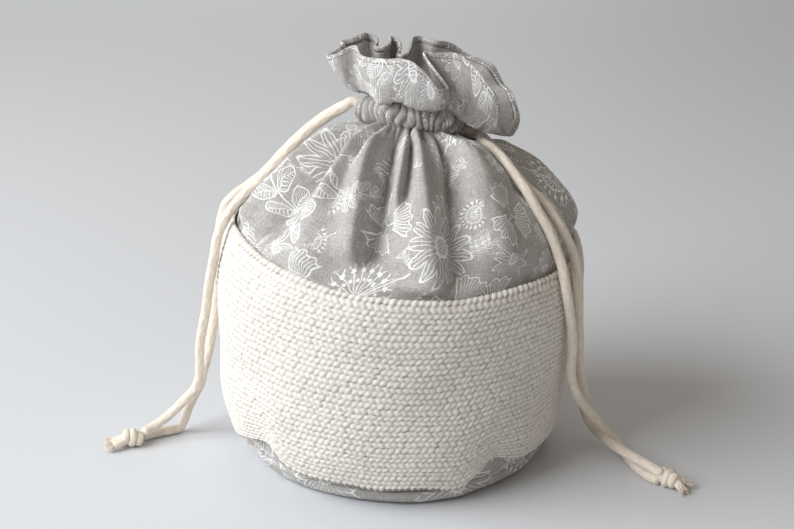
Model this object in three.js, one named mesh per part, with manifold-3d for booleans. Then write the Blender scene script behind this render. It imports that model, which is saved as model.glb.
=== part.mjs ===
// A round drawstring storage bag. A thick knitted band stands round a canvas bag, whose shoulder is
// gathered into a casing, with a ruffle above it and a drawstring leaving the casing at each side.
// Millimetres, +Z up. The origin is the middle of the flat bottom, and the front faces -Y.
// An angle of zero points along +X, and angles grow anticlockwise seen from above.
import * as THREE from "three";
import { mergeVertices } from "three/addons/utils/BufferGeometryUtils.js";
import Module from "manifold-3d";

const wasm = await Module();
wasm.setup();

// Fit between sewn pieces, the fit of the canvas behind the band, and the overrun of every cut
const seamGap = 0.3;
const bandGap = 0.95;
const cutOverrun = 4;

// Knitted band
const bandRadius = 92;
const bandThickness = 4;
const rimHeight = 107.5;
const leftPeakRise = 17;
const rightPeakRise = 4.5;
const frontRimRise = 2.2;
const bandBottomHeight = 9.5;
const notchRise = 8;
const wallLean = 4.5;

// Canvas bag and its base
const clothThickness = 1;
const layerGap = 1;
const baseRadius = 74;
const baseEdgeRadius = 80.6;
const baseTopHeight = 20;
const foldDepth = 3;
const shoulderLean = 5;

// Casing, where the canvas and its facing hold the two drawstrings
const neckX = 8.5;
const neckRadius = 21.5;
const casingHeight = 173;
const casingHalfHeight = 10;
const channelOuterRadius = 24;
const channelInnerRadius = 11.5;
const channelOuterHalfHeight = 4.5;
const channelInnerHalfHeight = 6.2;
const pleatDepth = 2.2;
const innerPleatDepth = 1.5;
const casingSlopeXShare = -0.145;
const casingSlopeYShare = -0.22;

// Ruffle above the casing
const ruffleReach = 50;
const ruffleRise = 36;
const ruffleLift = 7;
const ruffleSpreadShare = 0.7;

// Lining and the wadding in the bottom
const liningThickness = 0.8;
const liningGap = 0.5;
const waddingThickness = 4;
const waddingRadius = 73;

// Drawstrings: a ring in the casing, whose two ends leave side by side
const cordDiameter = 5;
const ringRadius = 17;
const ringSpacing = 5.8;
const strandSpacing = 6;
const exitBendRadius = 11;
const exitReach = 26;
const exitSlotWidth = 12.8;
const exitSlotHeight = 8.6;
const knotLength = 11;
const knotRadius = 4.6;
const wrapRadius = 2.8;
const wrapThickness = 3;
const wrapSpacing = 4.4;
const wrapTilt = 0.32;
const tailLength = 6;
const tailRadius = 2.4;
const tailSpread = 0.16;

// Counts
const pleats = 16;
const folds = 8;
const panelColumns = 32;
const baseSegments = 2 * panelColumns;
const ringSteps = 22;
const strandSteps = 24;
const cordSides = 8;

// Outline of the wall: height as a share of the rim's, radius as a share of the band's, lean as a
// share of the wall's lean
const wallShares = [
  [0, 0.87, 0],
  [0.09, 0.9, -0.2],
  [0.2, 0.938, -0.5],
  [0.34, 0.962, -0.6],
  [0.56, 0.974, -0.2],
  [0.88, 1, 0.45],
  [0.98, 0.995, 0.45],
  [1.06, 0.97, 0.45],
  [1.17, 0.92, 0.45],
];

// The shoulder, from the wall to the neck: share of the way out from the neck, share of the way up,
// share of the shoulder's lean to the right
const shoulderShares = [
  [0.95, 0.15, 0.9],
  [0.86, 0.36, 1],
  [0.66, 0.62, 1],
  [0.4, 0.84, 0.7],
  [0.16, 0.955, 0.3],
];

// The ruffle's hem every 15 degrees from the left, going round by the front: shares of its reach
// and of its rise above the casing's middle
const hemReachShares = [
  0.88, 0.78, 0.68, 0.66, 0.66, 0.68, 0.73, 0.76, 0.7, 0.74, 0.88, 0.94,
  0.98, 0.98, 0.95, 0.86, 0.75, 0.66, 0.58, 0.53, 0.54, 0.62, 0.72, 0.8,
];
const hemRiseShares = [
  0.84, 0.94, 1, 0.97, 0.95, 0.95, 0.86, 0.7, 0.76, 0.66, 0.34, 0.06,
  0, 0.18, 0.42, 0.62, 0.78, 0.87, 0.9, 0.86, 0.9, 0.96, 0.96, 0.92,
];
// The base's edge, from its flat to the band: share of its bulge, share of its height
const baseCurlShares = [
  [0.65, 0.12],
  [1, 0.45],
  [0.92, 0.85],
];
const ruffleRowShares = [0.33, 0.67, 1];
const bandRowShares = [0, 0.12, 0.35, 0.62, 0.85, 1];

// Where the band's lower edge is puckered upwards, and how wide each pucker is, in degrees
const notches = [
  { at: -141, width: 9 },
  { at: -55, width: 6 },
];
const foldBias = 1.6;
const frontRimAt = -42;
const frontRimWidth = 22;
const rightPeakAt = 6;
const rightPeakWidth = 16;

// Reads a table of rows at a share in its first column, along straight lines between its rows.
function readTable(table, share, column) {
  let i = 1;
  while (i < table.length - 1 && table[i][0] < share) i += 1;
  const [low, high] = [table[i - 1], table[i]];
  const t = THREE.MathUtils.clamp((share - low[0]) / (high[0] - low[0]), 0, 1);
  return THREE.MathUtils.lerp(low[column], high[column], t);
}

// A smooth bump of height 1 at one angle in degrees.
function bump(angle, at, width) {
  const turn = THREE.MathUtils.euclideanModulo(THREE.MathUtils.radToDeg(angle) - at + 180, 360) - 180;
  return Math.exp(-((turn / width) ** 2));
}

// Height of the band's top edge.
function rimAt(angle) {
  const leftward = ((1 - Math.cos(angle)) / 2) ** 3;
  return (
    rimHeight +
    leftPeakRise * leftward +
    rightPeakRise * bump(angle, rightPeakAt, rightPeakWidth) +
    frontRimRise * bump(angle, frontRimAt, frontRimWidth)
  );
}

// Height of the band's lower edge.
function bandBottomAt(angle) {
  return notches.reduce((height, n) => height + notchRise * bump(angle, n.at, n.width), bandBottomHeight);
}

// The outside of the band at a height: its radius and the sideways place of its middle.
function wallAt(height) {
  const share = height / rimHeight;
  return {
    radius: bandRadius * readTable(wallShares, share, 1),
    middle: wallLean * readTable(wallShares, share, 2),
  };
}

// The canvas lies just inside the band.
const canvasInset = bandThickness + bandGap + clothThickness / 2;

// A row of cloth at one angle: distance from its middle, height, the middle's X, and its waves
function wallRow(height) {
  const wall = wallAt(height);
  return { radius: wall.radius - canvasInset, height, middle: wall.middle, pleat: 0, fold: 0 };
}

// The casing's slope lifts its front and its left.
function casingLift(angle, radius) {
  return radius * (casingSlopeXShare * Math.cos(angle) + casingSlopeYShare * Math.sin(angle));
}

function casingRow(angle, radius, rise, pleat) {
  return {
    radius,
    height: casingHeight + rise + casingLift(angle, radius),
    middle: neckX,
    pleat,
    fold: 0,
  };
}

const neckRow = (angle) => casingRow(angle, neckRadius, -casingHalfHeight, pleatDepth);

// Heights of the band's rows, which the canvas behind it shares.
function bandHeights(angle) {
  const [low, high] = [bandBottomAt(angle), rimAt(angle)];
  return bandRowShares.map((share) => THREE.MathUtils.lerp(low, high, share));
}

function bodyRows(angle, lowest) {
  const above = bandHeights(angle).filter((height, i) => bandRowShares[i] > bandRowShares[1]);
  return [lowest, ...above].map(wallRow);
}

function shoulderRows(angle) {
  const start = wallRow(rimAt(angle));
  const neck = neckRow(angle);
  return shoulderShares.map(([out, up, lean]) => ({
    radius: THREE.MathUtils.lerp(neck.radius, start.radius, out),
    height: THREE.MathUtils.lerp(start.height, neck.height, up),
    middle: THREE.MathUtils.lerp(neck.middle, start.middle, out) + shoulderLean * lean,
    pleat: pleatDepth * (1 - out) ** 3,
    fold: foldDepth * Math.sin(Math.PI * out ** foldBias) ** 2,
  }));
}

// Reads a closed list of shares, which starts at the left, at an angle.
function readAround(shares, angle) {
  const turn = THREE.MathUtils.euclideanModulo((angle + Math.PI) / (2 * Math.PI), 1) * shares.length;
  const i = Math.floor(turn);
  const t = THREE.MathUtils.smoothstep(turn - i, 0, 1);
  return THREE.MathUtils.lerp(shares[i % shares.length], shares[(i + 1) % shares.length], t);
}

// The ruffle rises from the casing's top and bends over to its hem.
function ruffleRows(angle) {
  const from = casingRow(angle, neckRadius, casingHalfHeight, pleatDepth);
  const hemRadius = ruffleReach * readAround(hemReachShares, angle);
  const hemHeight = casingHeight + ruffleRise * readAround(hemRiseShares, angle);
  const bendRadius = THREE.MathUtils.lerp(from.radius, hemRadius, ruffleSpreadShare);
  const path = new THREE.QuadraticBezierCurve(
    new THREE.Vector2(from.radius, from.height),
    new THREE.Vector2(bendRadius, from.height + ruffleLift),
    new THREE.Vector2(hemRadius, hemHeight),
  );
  const rows = ruffleRowShares.map((share) => {
    const at = path.getPoint(share);
    return { radius: at.x, height: at.y, middle: neckX, pleat: pleatDepth * (1 - share) ** 2, fold: 0 };
  });
  return [from, ...rows];
}

// Places a column of rows, each moved outwards along its own normal by an offset and by its waves.
function placeColumn(rows, angle, offset) {
  return rows.map((row, i) => {
    const before = rows[Math.max(i - 1, 0)];
    const after = rows[Math.min(i + 1, rows.length - 1)];
    const normal = new THREE.Vector2(after.height - before.height, before.radius - after.radius).normalize();
    const wave = row.pleat * Math.cos(pleats * angle) - row.fold * Math.cos(folds * angle);
    const out = (row.offset ?? 0) + offset + wave;
    const radius = row.radius + normal.x * out;
    return new THREE.Vector3(
      row.middle + radius * Math.cos(angle),
      radius * Math.sin(angle),
      row.height + normal.y * out,
    );
  });
}

// Closes an outer and an inner grid of points, both in columns, into one thin solid.
function shell(outer, inner) {
  const columns = outer.length;
  const rows = outer[0].length;
  const points = [...outer.flat(), ...inner.flat()];
  const at = (side, column, row) => side * columns * rows + column * rows + row;
  const index = [];
  const quad = (a, b, c, d) => index.push(a, b, c, a, c, d);
  for (let c = 0; c < columns - 1; c += 1) {
    for (let r = 0; r < rows - 1; r += 1) {
      quad(at(0, c, r), at(0, c + 1, r), at(0, c + 1, r + 1), at(0, c, r + 1));
      quad(at(1, c, r), at(1, c, r + 1), at(1, c + 1, r + 1), at(1, c + 1, r));
    }
    quad(at(0, c, 0), at(1, c, 0), at(1, c + 1, 0), at(0, c + 1, 0));
    const top = rows - 1;
    quad(at(1, c, top), at(0, c, top), at(0, c + 1, top), at(1, c + 1, top));
  }
  const last = columns - 1;
  for (let r = 0; r < rows - 1; r += 1) {
    quad(at(1, 0, r), at(0, 0, r), at(0, 0, r + 1), at(1, 0, r + 1));
    quad(at(0, last, r), at(1, last, r), at(1, last, r + 1), at(0, last, r + 1));
  }
  const geometry = new THREE.BufferGeometry().setFromPoints(points);
  geometry.setIndex(index);
  geometry.computeVertexNormals();
  return geometry;
}

// A panel that covers the front half or the back half, half a seam's gap short at each side. It
// keeps the given number of its rows.
function halfPanel(side, rowsAt, thickness, offset = 0, kept = Infinity) {
  const start = side === "front" ? -Math.PI : 0;
  const seam = side === "front" ? -seamGap / 2 : seamGap / 2;
  const grids = [thickness / 2, -thickness / 2].map((face) => {
    const columns = [];
    for (let c = 0; c <= panelColumns; c += 1) {
      const angle = start + (Math.PI * c) / panelColumns;
      const column = placeColumn(rowsAt(angle), angle, offset + face).slice(0, kept);
      if (c === 0 || c === panelColumns) column.forEach((point) => (point.y = seam));
      columns.push(column);
    }
    return columns;
  });
  return shell(...grids);
}

// Solids for cutting and joining
function toSolid(geometry) {
  const bare = geometry.index ? geometry.toNonIndexed() : geometry.clone();
  bare.deleteAttribute("normal");
  bare.deleteAttribute("uv");
  const merged = mergeVertices(bare);
  return new wasm.Manifold(
    new wasm.Mesh({
      numProp: 3,
      vertProperties: merged.attributes.position.array,
      triVerts: new Uint32Array(merged.index.array),
    }),
  );
}

function toGeometry(solid) {
  const mesh = solid.getMesh();
  const geometry = new THREE.BufferGeometry();
  geometry.setAttribute("position", new THREE.BufferAttribute(mesh.vertProperties, 3));
  geometry.setIndex(new THREE.BufferAttribute(mesh.triVerts, 1));
  geometry.computeVertexNormals();
  return geometry;
}

// Drawstrings: the left one runs above the right one
const drawstrings = {
  left: { toward: -1, rise: ringSpacing / 2 },
  right: { toward: 1, rise: -ringSpacing / 2 },
};

// A place in the casing, given from the neck's middle.
function casingPoint(x, y, rise) {
  const height = casingHeight + rise + casingSlopeXShare * x + casingSlopeYShare * y;
  return new THREE.Vector3(neckX + x, y, height);
}

// A strand leaves the casing straight outwards, over one diameter of the cord.
function exitPoints(name, y) {
  const { toward, rise } = drawstrings[name];
  return [seamGap, cordDiameter].map((out) => casingPoint(toward * (exitReach + out), y, rise));
}

// The ring goes round the casing and its ends turn out, side by side, through the side seam.
function ringPoints({ toward, rise }) {
  const half = strandSpacing / 2;
  const bendX = Math.sqrt((ringRadius + exitBendRadius) ** 2 - (half + exitBendRadius) ** 2);
  const bendY = half + exitBendRadius;
  const leave = Math.atan2(bendY, bendX);
  const points = [casingPoint(toward * exitReach, half, rise)];
  const bendParts = 4;
  for (let i = 0; i < bendParts; i += 1) {
    const turn = -Math.PI / 2 - ((Math.PI / 2 - leave) * i) / bendParts;
    const x = bendX + exitBendRadius * Math.cos(turn);
    const y = bendY + exitBendRadius * Math.sin(turn);
    points.push(casingPoint(toward * x, y, rise));
  }
  const ringParts = 20;
  for (let i = 0; i <= ringParts; i += 1) {
    const turn = leave + ((2 * Math.PI - 2 * leave) * i) / ringParts;
    const [x, y] = [ringRadius * Math.cos(turn), ringRadius * Math.sin(turn)];
    points.push(casingPoint(toward * x, y, rise));
  }
  for (let i = bendParts - 1; i >= 0; i -= 1) {
    const turn = -Math.PI / 2 - ((Math.PI / 2 - leave) * i) / bendParts;
    const x = bendX + exitBendRadius * Math.cos(turn);
    const y = bendY + exitBendRadius * Math.sin(turn);
    points.push(casingPoint(toward * x, -y, rise));
  }
  points.push(casingPoint(toward * exitReach, -half, rise));
  return points;
}

function cordSection() {
  const section = new THREE.Shape();
  const corners = [];
  for (let i = 0; i < cordSides; i += 1) {
    const turn = (2 * Math.PI * (i + 0.5)) / cordSides;
    corners.push(new THREE.Vector2(Math.cos(turn), Math.sin(turn)).multiplyScalar(cordDiameter / 2));
  }
  section.setFromPoints(corners);
  return section;
}

// A tube of cord along a list of points.
function cordAlong(points, steps) {
  const path = new THREE.CatmullRomCurve3(points, false, "centripetal");
  return new THREE.ExtrudeGeometry(cordSection(), { steps, extrudePath: path, bevelEnabled: false });
}

// The routes of the four strands, from the casing to their knot
const strandRoutes = {
  right_cord_back: [
    [41, 1.2, 163.6],
    [45.8, -3, 161.8],
    [50.8, -8.4, 160.4],
    [54.2, -16.2, 159.8],
    [56.5, -21.6, 156.8],
    [61.3, -29.7, 151.1],
    [65.1, -34.2, 146.7],
    [69.1, -37.1, 141.3],
    [73.2, -39.1, 135.8],
    [76.6, -40.1, 131.2],
    [80.9, -39.7, 122.9],
    [84.1, -39, 115.6],
    [85.6, -42.6, 109.7],
    [86.7, -43, 102.8],
    [87.4, -42, 92.7],
    [88.3, -37.5, 80.6],
    [89.6, -33, 68.9],
    [90.5, -28.5, 58],
    [93.3, -22, 43.4],
    [95.9, -14, 31],
    [97.1, -6, 19],
    [99.3, -1, 9.9],
    [100.4, 0.6, 6],
    [102.4, 0.6, 3.2],
    [105.2, -5.2, 2.8],
    [107.4, -12.5, 2.8],
    [109.2, -19, 2.8],
    [109.4, -25.6, 2.6],
    [110.6, -31.4, 3.4],
    [112.6, -35.4, 5.6],
    [115.8, -37, 7.6],
    [119.2, -38.6, 8.6],
    [122.9, -40.6, 8.3],
    [126.4, -43, 6.8],
    [128.8, -47, 5.2],
    [130.2, -51.3, 5],
  ],
  right_cord_front: [
    [40.6, -6.6, 164.6],
    [44.6, -13, 163],
    [47.6, -19, 160.6],
    [50.4, -26.1, 157.6],
    [53.8, -32, 153.4],
    [60.2, -40, 145.5],
    [64.4, -43.5, 139.6],
    [69.8, -46.5, 132.8],
    [73.4, -48.6, 125.6],
    [76, -50.2, 119.2],
    [77.8, -53.4, 113],
    [79, -55.6, 106.9],
    [81, -54.1, 96.9],
    [83, -49, 86.1],
    [84.6, -45, 75.8],
    [85.3, -42, 65.7],
    [85.3, -40, 56.4],
    [87, -37, 45.5],
    [90.3, -34.5, 37.9],
    [95.7, -32, 30.3],
    [100.7, -30, 22.7],
    [106.4, -28.4, 15],
    [110.7, -27, 9.8],
    [114.2, -25.2, 6.6],
    [116.8, -26.2, 3.6],
    [118.3, -30.4, 2.7],
    [119, -35, 2.6],
    [119.8, -41.8, 2.6],
    [121.2, -47.8, 2.7],
    [123.4, -52.6, 2.9],
    [125.4, -54.8, 3.2],
  ],
  left_cord_front: [
    [-25.3, -3.6, 178.9],
    [-32.6, -5, 175],
    [-39.9, -7, 170.4],
    [-47.2, -9.5, 164.6],
    [-56.4, -12, 155.8],
    [-65.8, -14.5, 145.9],
    [-73, -16, 139.4],
    [-78.3, -17, 134],
    [-81.6, -17.5, 129.8],
    [-84.6, -18.6, 125.2],
    [-87.1, -19, 120],
    [-88.6, -20, 114.8],
    [-89.6, -20.7, 108.8],
    [-91.2, -18, 102.2],
    [-94.2, -13.5, 88.5],
    [-96.5, -9.5, 75.3],
    [-99.1, -6, 64.1],
    [-101.2, -3, 53.6],
    [-102, -1, 43.3],
    [-103, 0.5, 33.7],
    [-105.5, 2, 27.1],
    [-110.3, 2.5, 21.5],
    [-115.9, 1.5, 15.9],
    [-122.6, -1, 10.5],
    [-129, -5.6, 7.6],
    [-131.8, -8.9, 7.2],
  ],
  left_cord_back: [
    [-25.3, 3.6, 178.2],
    [-33, 5.5, 173.8],
    [-41, 6.5, 168],
    [-49, 7, 161],
    [-57.5, 7.5, 152.4],
    [-66.2, 8, 142.8],
    [-74.5, 8.5, 136],
    [-80.7, 8.5, 131.6],
    [-85.8, 9.5, 126.6],
    [-89, 11, 119],
    [-90.8, 13.2, 110.2],
    [-92, 14.6, 100],
    [-93.2, 14.6, 85],
    [-94.4, 14.5, 71],
    [-96.2, 13.5, 58],
    [-99.2, 12, 43],
    [-101.8, 10.5, 34],
    [-103.8, 9.5, 26.4],
    [-107.7, 8.5, 18.8],
    [-110.6, 8, 12.7],
    [-112.8, 7, 6.8],
    [-114.9, 6.2, 3.2],
    [-118.9, 3.7, 2.8],
    [-124.4, 1.2, 2.8],
    [-128.4, -0.8, 2.8],
    [-131.6, -3.4, 2.8],
    [-134, -5.4, 3],
  ],
};

// Each knot's middle and the direction in which its tails point
const knots = {
  left: { at: [-137.3, -10.8, 5], tails: [-0.95, -0.3, 0] },
  right: { at: [130.8, -57.0, 5], tails: [0.66, -0.75, 0] },
};

// The knot: a round core with a wrap of cord at each end, and two short tails.
function knotGeometry() {
  const core = new THREE.SphereGeometry(knotRadius, 12, 8);
  core.scale(knotLength / 2 / knotRadius, 1, 1);
  let solid = toSolid(core);
  for (const side of [-1, 1]) {
    const wrap = new THREE.TorusGeometry(wrapRadius, wrapThickness / 2, 6, 12);
    wrap.rotateY(Math.PI / 2 - side * wrapTilt);
    wrap.translate((side * wrapSpacing) / 2, 0, 0);
    solid = solid.add(toSolid(wrap));
    const tail = new THREE.CylinderGeometry(tailRadius, tailRadius, tailLength * 2, cordSides);
    tail.rotateZ(side * tailSpread - Math.PI / 2);
    tail.translate(knotLength / 2, (side * tailRadius) / 2, 0);
    solid = solid.add(toSolid(tail));
  }
  return toGeometry(solid);
}

// A hole through the side seam for the two ends of a drawstring.
function exitSlot({ toward, rise }) {
  const slot = new THREE.BoxGeometry(2 * cutOverrun + pleatDepth * 2, exitSlotWidth, exitSlotHeight);
  const middle = casingPoint(toward * channelOuterRadius, 0, rise);
  slot.translate(middle.x, middle.y, middle.z);
  return toSolid(slot);
}

// The canvas from its lowest row to the hem. In the ruffle it is the outer of two layers.
function canvasRows(angle, lowest) {
  const outward = { offset: (clothThickness + layerGap) / 2 };
  return [
    ...bodyRows(angle, lowest),
    ...shoulderRows(angle),
    { ...neckRow(angle), ...outward },
    casingRow(angle, channelOuterRadius, -channelOuterHalfHeight, pleatDepth),
    casingRow(angle, channelOuterRadius, channelOuterHalfHeight, pleatDepth),
    ...ruffleRows(angle).map((row) => ({ ...row, ...outward })),
  ];
}

function canvasPanel(side) {
  const rowsAt = (angle) => canvasRows(angle, baseTopHeight + seamGap);
  const panel = toSolid(halfPanel(side, rowsAt, clothThickness));
  const cut = Object.values(drawstrings).reduce((solid, d) => solid.subtract(exitSlot(d)), panel);
  return toGeometry(cut);
}

function facingPanel(side) {
  const rowsAt = (angle) => {
    const inward = { offset: -(clothThickness + layerGap) / 2 };
    return [
      { ...neckRow(angle), ...inward },
      casingRow(angle, channelInnerRadius, -channelInnerHalfHeight, innerPleatDepth),
      casingRow(angle, channelInnerRadius, channelInnerHalfHeight, innerPleatDepth),
      ...ruffleRows(angle).map((row) => ({ ...row, ...inward })),
    ];
  };
  return halfPanel(side, rowsAt, clothThickness);
}

function knitBand(side) {
  const rowsAt = (angle) =>
    bandHeights(angle).map((height) => {
      const wall = wallAt(height);
      return { radius: wall.radius - bandThickness / 2, height, middle: wall.middle, pleat: 0, fold: 0 };
    });
  return halfPanel(side, rowsAt, bandThickness);
}

// Turns an outline of radius and height, which starts and ends on the axis, into a round solid
// about Z that leans with the wall.
function round(outline) {
  const points = outline.map(([radius, height]) => new THREE.Vector2(radius, height));
  const solid = new THREE.LatheGeometry(points, baseSegments).rotateX(Math.PI / 2);
  const corners = solid.getAttribute("position");
  for (let i = 0; i < corners.count; i += 1) {
    corners.setX(i, corners.getX(i) + wallAt(corners.getZ(i)).middle);
  }
  return solid;
}

// The base lies flat, bulges a little below the band and turns up behind it.
function basePanel() {
  const edge = bandBottomHeight - seamGap;
  const behind = [edge, baseTopHeight].map((height) => [wallRow(height).radius + clothThickness / 2, height]);
  const outside = [
    [baseRadius, 0],
    ...baseCurlShares.map(([out, up]) => [THREE.MathUtils.lerp(baseRadius, baseEdgeRadius, out), edge * up]),
    ...behind,
  ];
  const inside = outside.map(([radius, height]) => [
    radius - clothThickness,
    Math.max(height, clothThickness),
  ]);
  return round([[0, 0], ...outside, ...inside.reverse(), [0, clothThickness]]);
}

function disc(radius, low, thickness) {
  const plate = new THREE.CylinderGeometry(radius, radius, thickness, baseSegments);
  return plate.rotateX(Math.PI / 2).translate(0, 0, low + thickness / 2);
}

const waddingLow = clothThickness + seamGap;
const liningLow = waddingLow + waddingThickness + seamGap;
const liningOffset = -(clothThickness / 2 + liningGap + liningThickness / 2);

// The lining follows the canvas from the bottom to just below the casing.
function liningPanel(side) {
  const rowsAt = (angle) => canvasRows(angle, liningLow + liningThickness + seamGap);
  const kept = bodyRows(0, liningLow).length + shoulderShares.length;
  return halfPanel(side, rowsAt, liningThickness, liningOffset, kept);
}

function cordMesh(name, points, steps) {
  return { name, geometry: cordAlong(points, steps), look: looks.cord };
}

// Turns a knot so that its tails point their way, and puts it in its place.
function putKnot(geometry, { at, tails }) {
  const turn = new THREE.Quaternion().setFromUnitVectors(
    new THREE.Vector3(1, 0, 0),
    new THREE.Vector3(...tails).normalize(),
  );
  return geometry.applyQuaternion(turn).translate(...at);
}

const looks = {
  knit: { color: 0xe9e4da, roughness: 0.95 },
  canvas: { color: 0xa39a90, roughness: 0.9 },
  lining: { color: 0xd9d3c8, roughness: 0.9 },
  wadding: { color: 0xf1efe9, roughness: 1 },
  cord: { color: 0xe6d9c8, roughness: 0.85 },
};

const pieces = [
  { name: "base_panel", geometry: basePanel(), look: looks.canvas },
  { name: "base_wadding", geometry: disc(waddingRadius, waddingLow, waddingThickness), look: looks.wadding },
  { name: "lining_base", geometry: disc(waddingRadius, liningLow, liningThickness), look: looks.lining },
];
for (const side of ["front", "back"]) {
  pieces.push(
    { name: `knit_band_${side}`, geometry: knitBand(side), look: looks.knit },
    { name: `canvas_${side}_panel`, geometry: canvasPanel(side), look: looks.canvas },
    { name: `facing_${side}`, geometry: facingPanel(side), look: looks.canvas },
    { name: `lining_${side}`, geometry: liningPanel(side), look: looks.lining },
  );
}
for (const [name, drawstring] of Object.entries(drawstrings)) {
  const half = strandSpacing / 2;
  pieces.push(cordMesh(`${name}_drawstring_loop`, ringPoints(drawstring), ringSteps));
  for (const [lay, y] of [["front", -half], ["back", half]]) {
    const strand = `${name}_cord_${lay}`;
    const route = strandRoutes[strand].map((point) => new THREE.Vector3(...point));
    pieces.push(cordMesh(strand, [...exitPoints(name, y), ...route], strandSteps));
  }
  pieces.push({ name: `${name}_knot`, geometry: putKnot(knotGeometry(), knots[name]), look: looks.cord });
}

const bag = new THREE.Group();
bag.name = "storage_bag";
for (const { name, geometry, look } of pieces) {
  const mesh = new THREE.Mesh(geometry, new THREE.MeshStandardMaterial({ ...look, metalness: 0 }));
  mesh.name = name;
  bag.add(mesh);
}

export default bag;
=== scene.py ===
"""A round drawstring storage bag: printed canvas gathered to a neck, in a thick knitted band.

Tables of shapes and the functions that read them are in millimetres, and MM turns them into metres. The
points of a finished mesh and the paths of the cords are in metres.
Angles are in degrees, anticlockwise seen from above, with 0 at the right and -90 at the front.
"""
import math

import bpy
import numpy as np
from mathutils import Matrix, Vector


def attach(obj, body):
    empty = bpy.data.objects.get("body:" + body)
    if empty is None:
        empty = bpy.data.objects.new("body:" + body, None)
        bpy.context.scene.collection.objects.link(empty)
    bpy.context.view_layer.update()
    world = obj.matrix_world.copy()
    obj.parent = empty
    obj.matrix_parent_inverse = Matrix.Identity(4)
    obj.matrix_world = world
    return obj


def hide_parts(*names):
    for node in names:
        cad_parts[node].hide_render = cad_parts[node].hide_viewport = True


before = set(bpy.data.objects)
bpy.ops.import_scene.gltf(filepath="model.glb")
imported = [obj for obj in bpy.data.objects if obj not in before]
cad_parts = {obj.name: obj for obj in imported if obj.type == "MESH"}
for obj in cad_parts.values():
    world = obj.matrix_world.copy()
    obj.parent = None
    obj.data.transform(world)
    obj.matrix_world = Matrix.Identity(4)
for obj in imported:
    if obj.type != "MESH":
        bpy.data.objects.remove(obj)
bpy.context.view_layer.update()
MM = 0.001

# The band and the wall of the canvas inside it
BAND_RADIUS = 92
BAND_THICKNESS = 4
RIM_HEIGHT = 107.5
BAND_BOTTOM = 9.5
WALL_LEAN = 4.5
# The band's top edge rises to the left and has small lumps: angle, width in degrees, height
RIM_RISE = 17
RIM_LUMPS = [(6, 16, 4.5), (-42, 22, 2.2)]
# How the seam between the base and the wall lifts below the band's puckers
SEAM_LIFTS = [(-136, 12, 7), (-55, 9, 3.5)]
# The band is pinched along its two side seams
SEAM_PINCHES = [(0, 0.9, -0.25), (180, 0.9, -0.25)]
CANVAS_INSET = 5.2
# Half of the gap between two halves at a side seam, of the cloths and of the band
SEAM_GAP = 0.015
BAND_SEAM_GAP = 0.06
# The angle at which each half starts
HALVES = {"front": -180, "back": 0}
# Height of the band's lower edge by angle, puckered upwards at two places, and how far the base draws in
LOW_EDGE = np.array([
    (-172, 11), (-160, 14), (-152, 18), (-143, 22), (-135, 24), (-132, 23), (-129, 15), (-124, 13), (-116, 12),
    (-106, 11.4), (-97, 10), (-82, 10.6), (-75, 8.8), (-69, 6.8), (-65, 9), (-60, 17), (-55, 20.5), (-50, 18),
    (-42, 14), (-30, 14), (-18, 14.5), (0, 11), (20, 9.5), (90, 9.5), (150, 9.5), (180, 10),
])
BASE_DRAWN_IN = np.array([
    (-175, 0.3), (-162, 3), (-150, 4), (-110, 3.8), (-95, 2.8), (-82, 1.2), (-74, 2), (-67, 1.6), (-58, 4),
    (-20, 4), (5, 1), (30, 0), (170, 0),
])
# The wall's outline: share of the rim's height, share of the radius, share of the lean
WALL = np.array([
    (0, 0.87, 0), (0.09, 0.9, -0.2), (0.2, 0.938, -0.5), (0.34, 0.962, -0.6), (0.56, 0.974, -0.2),
    (0.88, 1, 0.45), (0.98, 0.995, 0.45), (1.06, 0.97, 0.45), (1.17, 0.92, 0.45),
])

STITCHES_ROUND = 178
STITCH_ROWS = 34
STITCH_DEPTH = 1.2
STITCH_SINK = 0.9
STITCH_TALL = 3.1
POINTS_PER_STITCH = 5
# Soft dents in the band: angle, height, width in degrees, height of the dent, depth
DENTS = [
    (-150, 58, 16, 6, 1.5), (-137, 26, 6, 20, 2.2), (-120, 36, 14, 7, 0.9), (-55, 18, 8, 15, 2),
    (-66, 60, 20, 10, 0.8), (-35, 44, 12, 8, 1.2), (-95, 80, 22, 5, 0.6), (40, 50, 18, 10, 1.2),
    (120, 40, 20, 12, 1.2),
]

# The neck and its casing
NECK_X = 8.5
NECK_RADIUS = 21.5
CASING_HEIGHT = 173
CASING_SLOPE = (-0.145, -0.22)

# The drawstrings
CORD_DIAMETER = 0.005
CORD_STEP = 0.0005
KNOT_CORD = 0.0022
KNOT_WRAP = 0.00205
BRAID_RELIEF = 0.00026
FIBRES = 38
RING_RADIUS = 17
RING_RISE = 2.9
STRAND_OFFSET = 3
EXIT_REACH = 26
# Where a strand runs inside the casing, out from the neck's middle
STRAND_STARTS = (13, 19, EXIT_REACH, 31)
# Which way each drawstring leaves, and how high it lies in the casing
SIDES = {"left": (-1, RING_RISE), "right": (1, -RING_RISE)}
STRANDS = {"front": -STRAND_OFFSET, "back": STRAND_OFFSET}

# The camera looks from the front, 19 degrees above level
CAMERA_PLACE = (0, -0.7394, 0.3509)
CAMERA_TURN = 90 - 19
LENS = 70

# The lights: place, where they shine, size, power and colour
LIGHTS = {
    "window": ((-1.23, -0.52, 1.02), (0, -0.02, 0.1), (1.7, 0.9), 38.5, (0.955, 0.98, 1)),
    "far_window": ((-0.25, 1.95, 0.65), (-0.2, 1.5, 0), (1.2, 0.5), 3.5, (0.94, 0.97, 1)),
}
LIGHT_ALL_ROUND = (1, 0.905, 0.8)
STRENGTH_ALL_ROUND = 0.322

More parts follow.
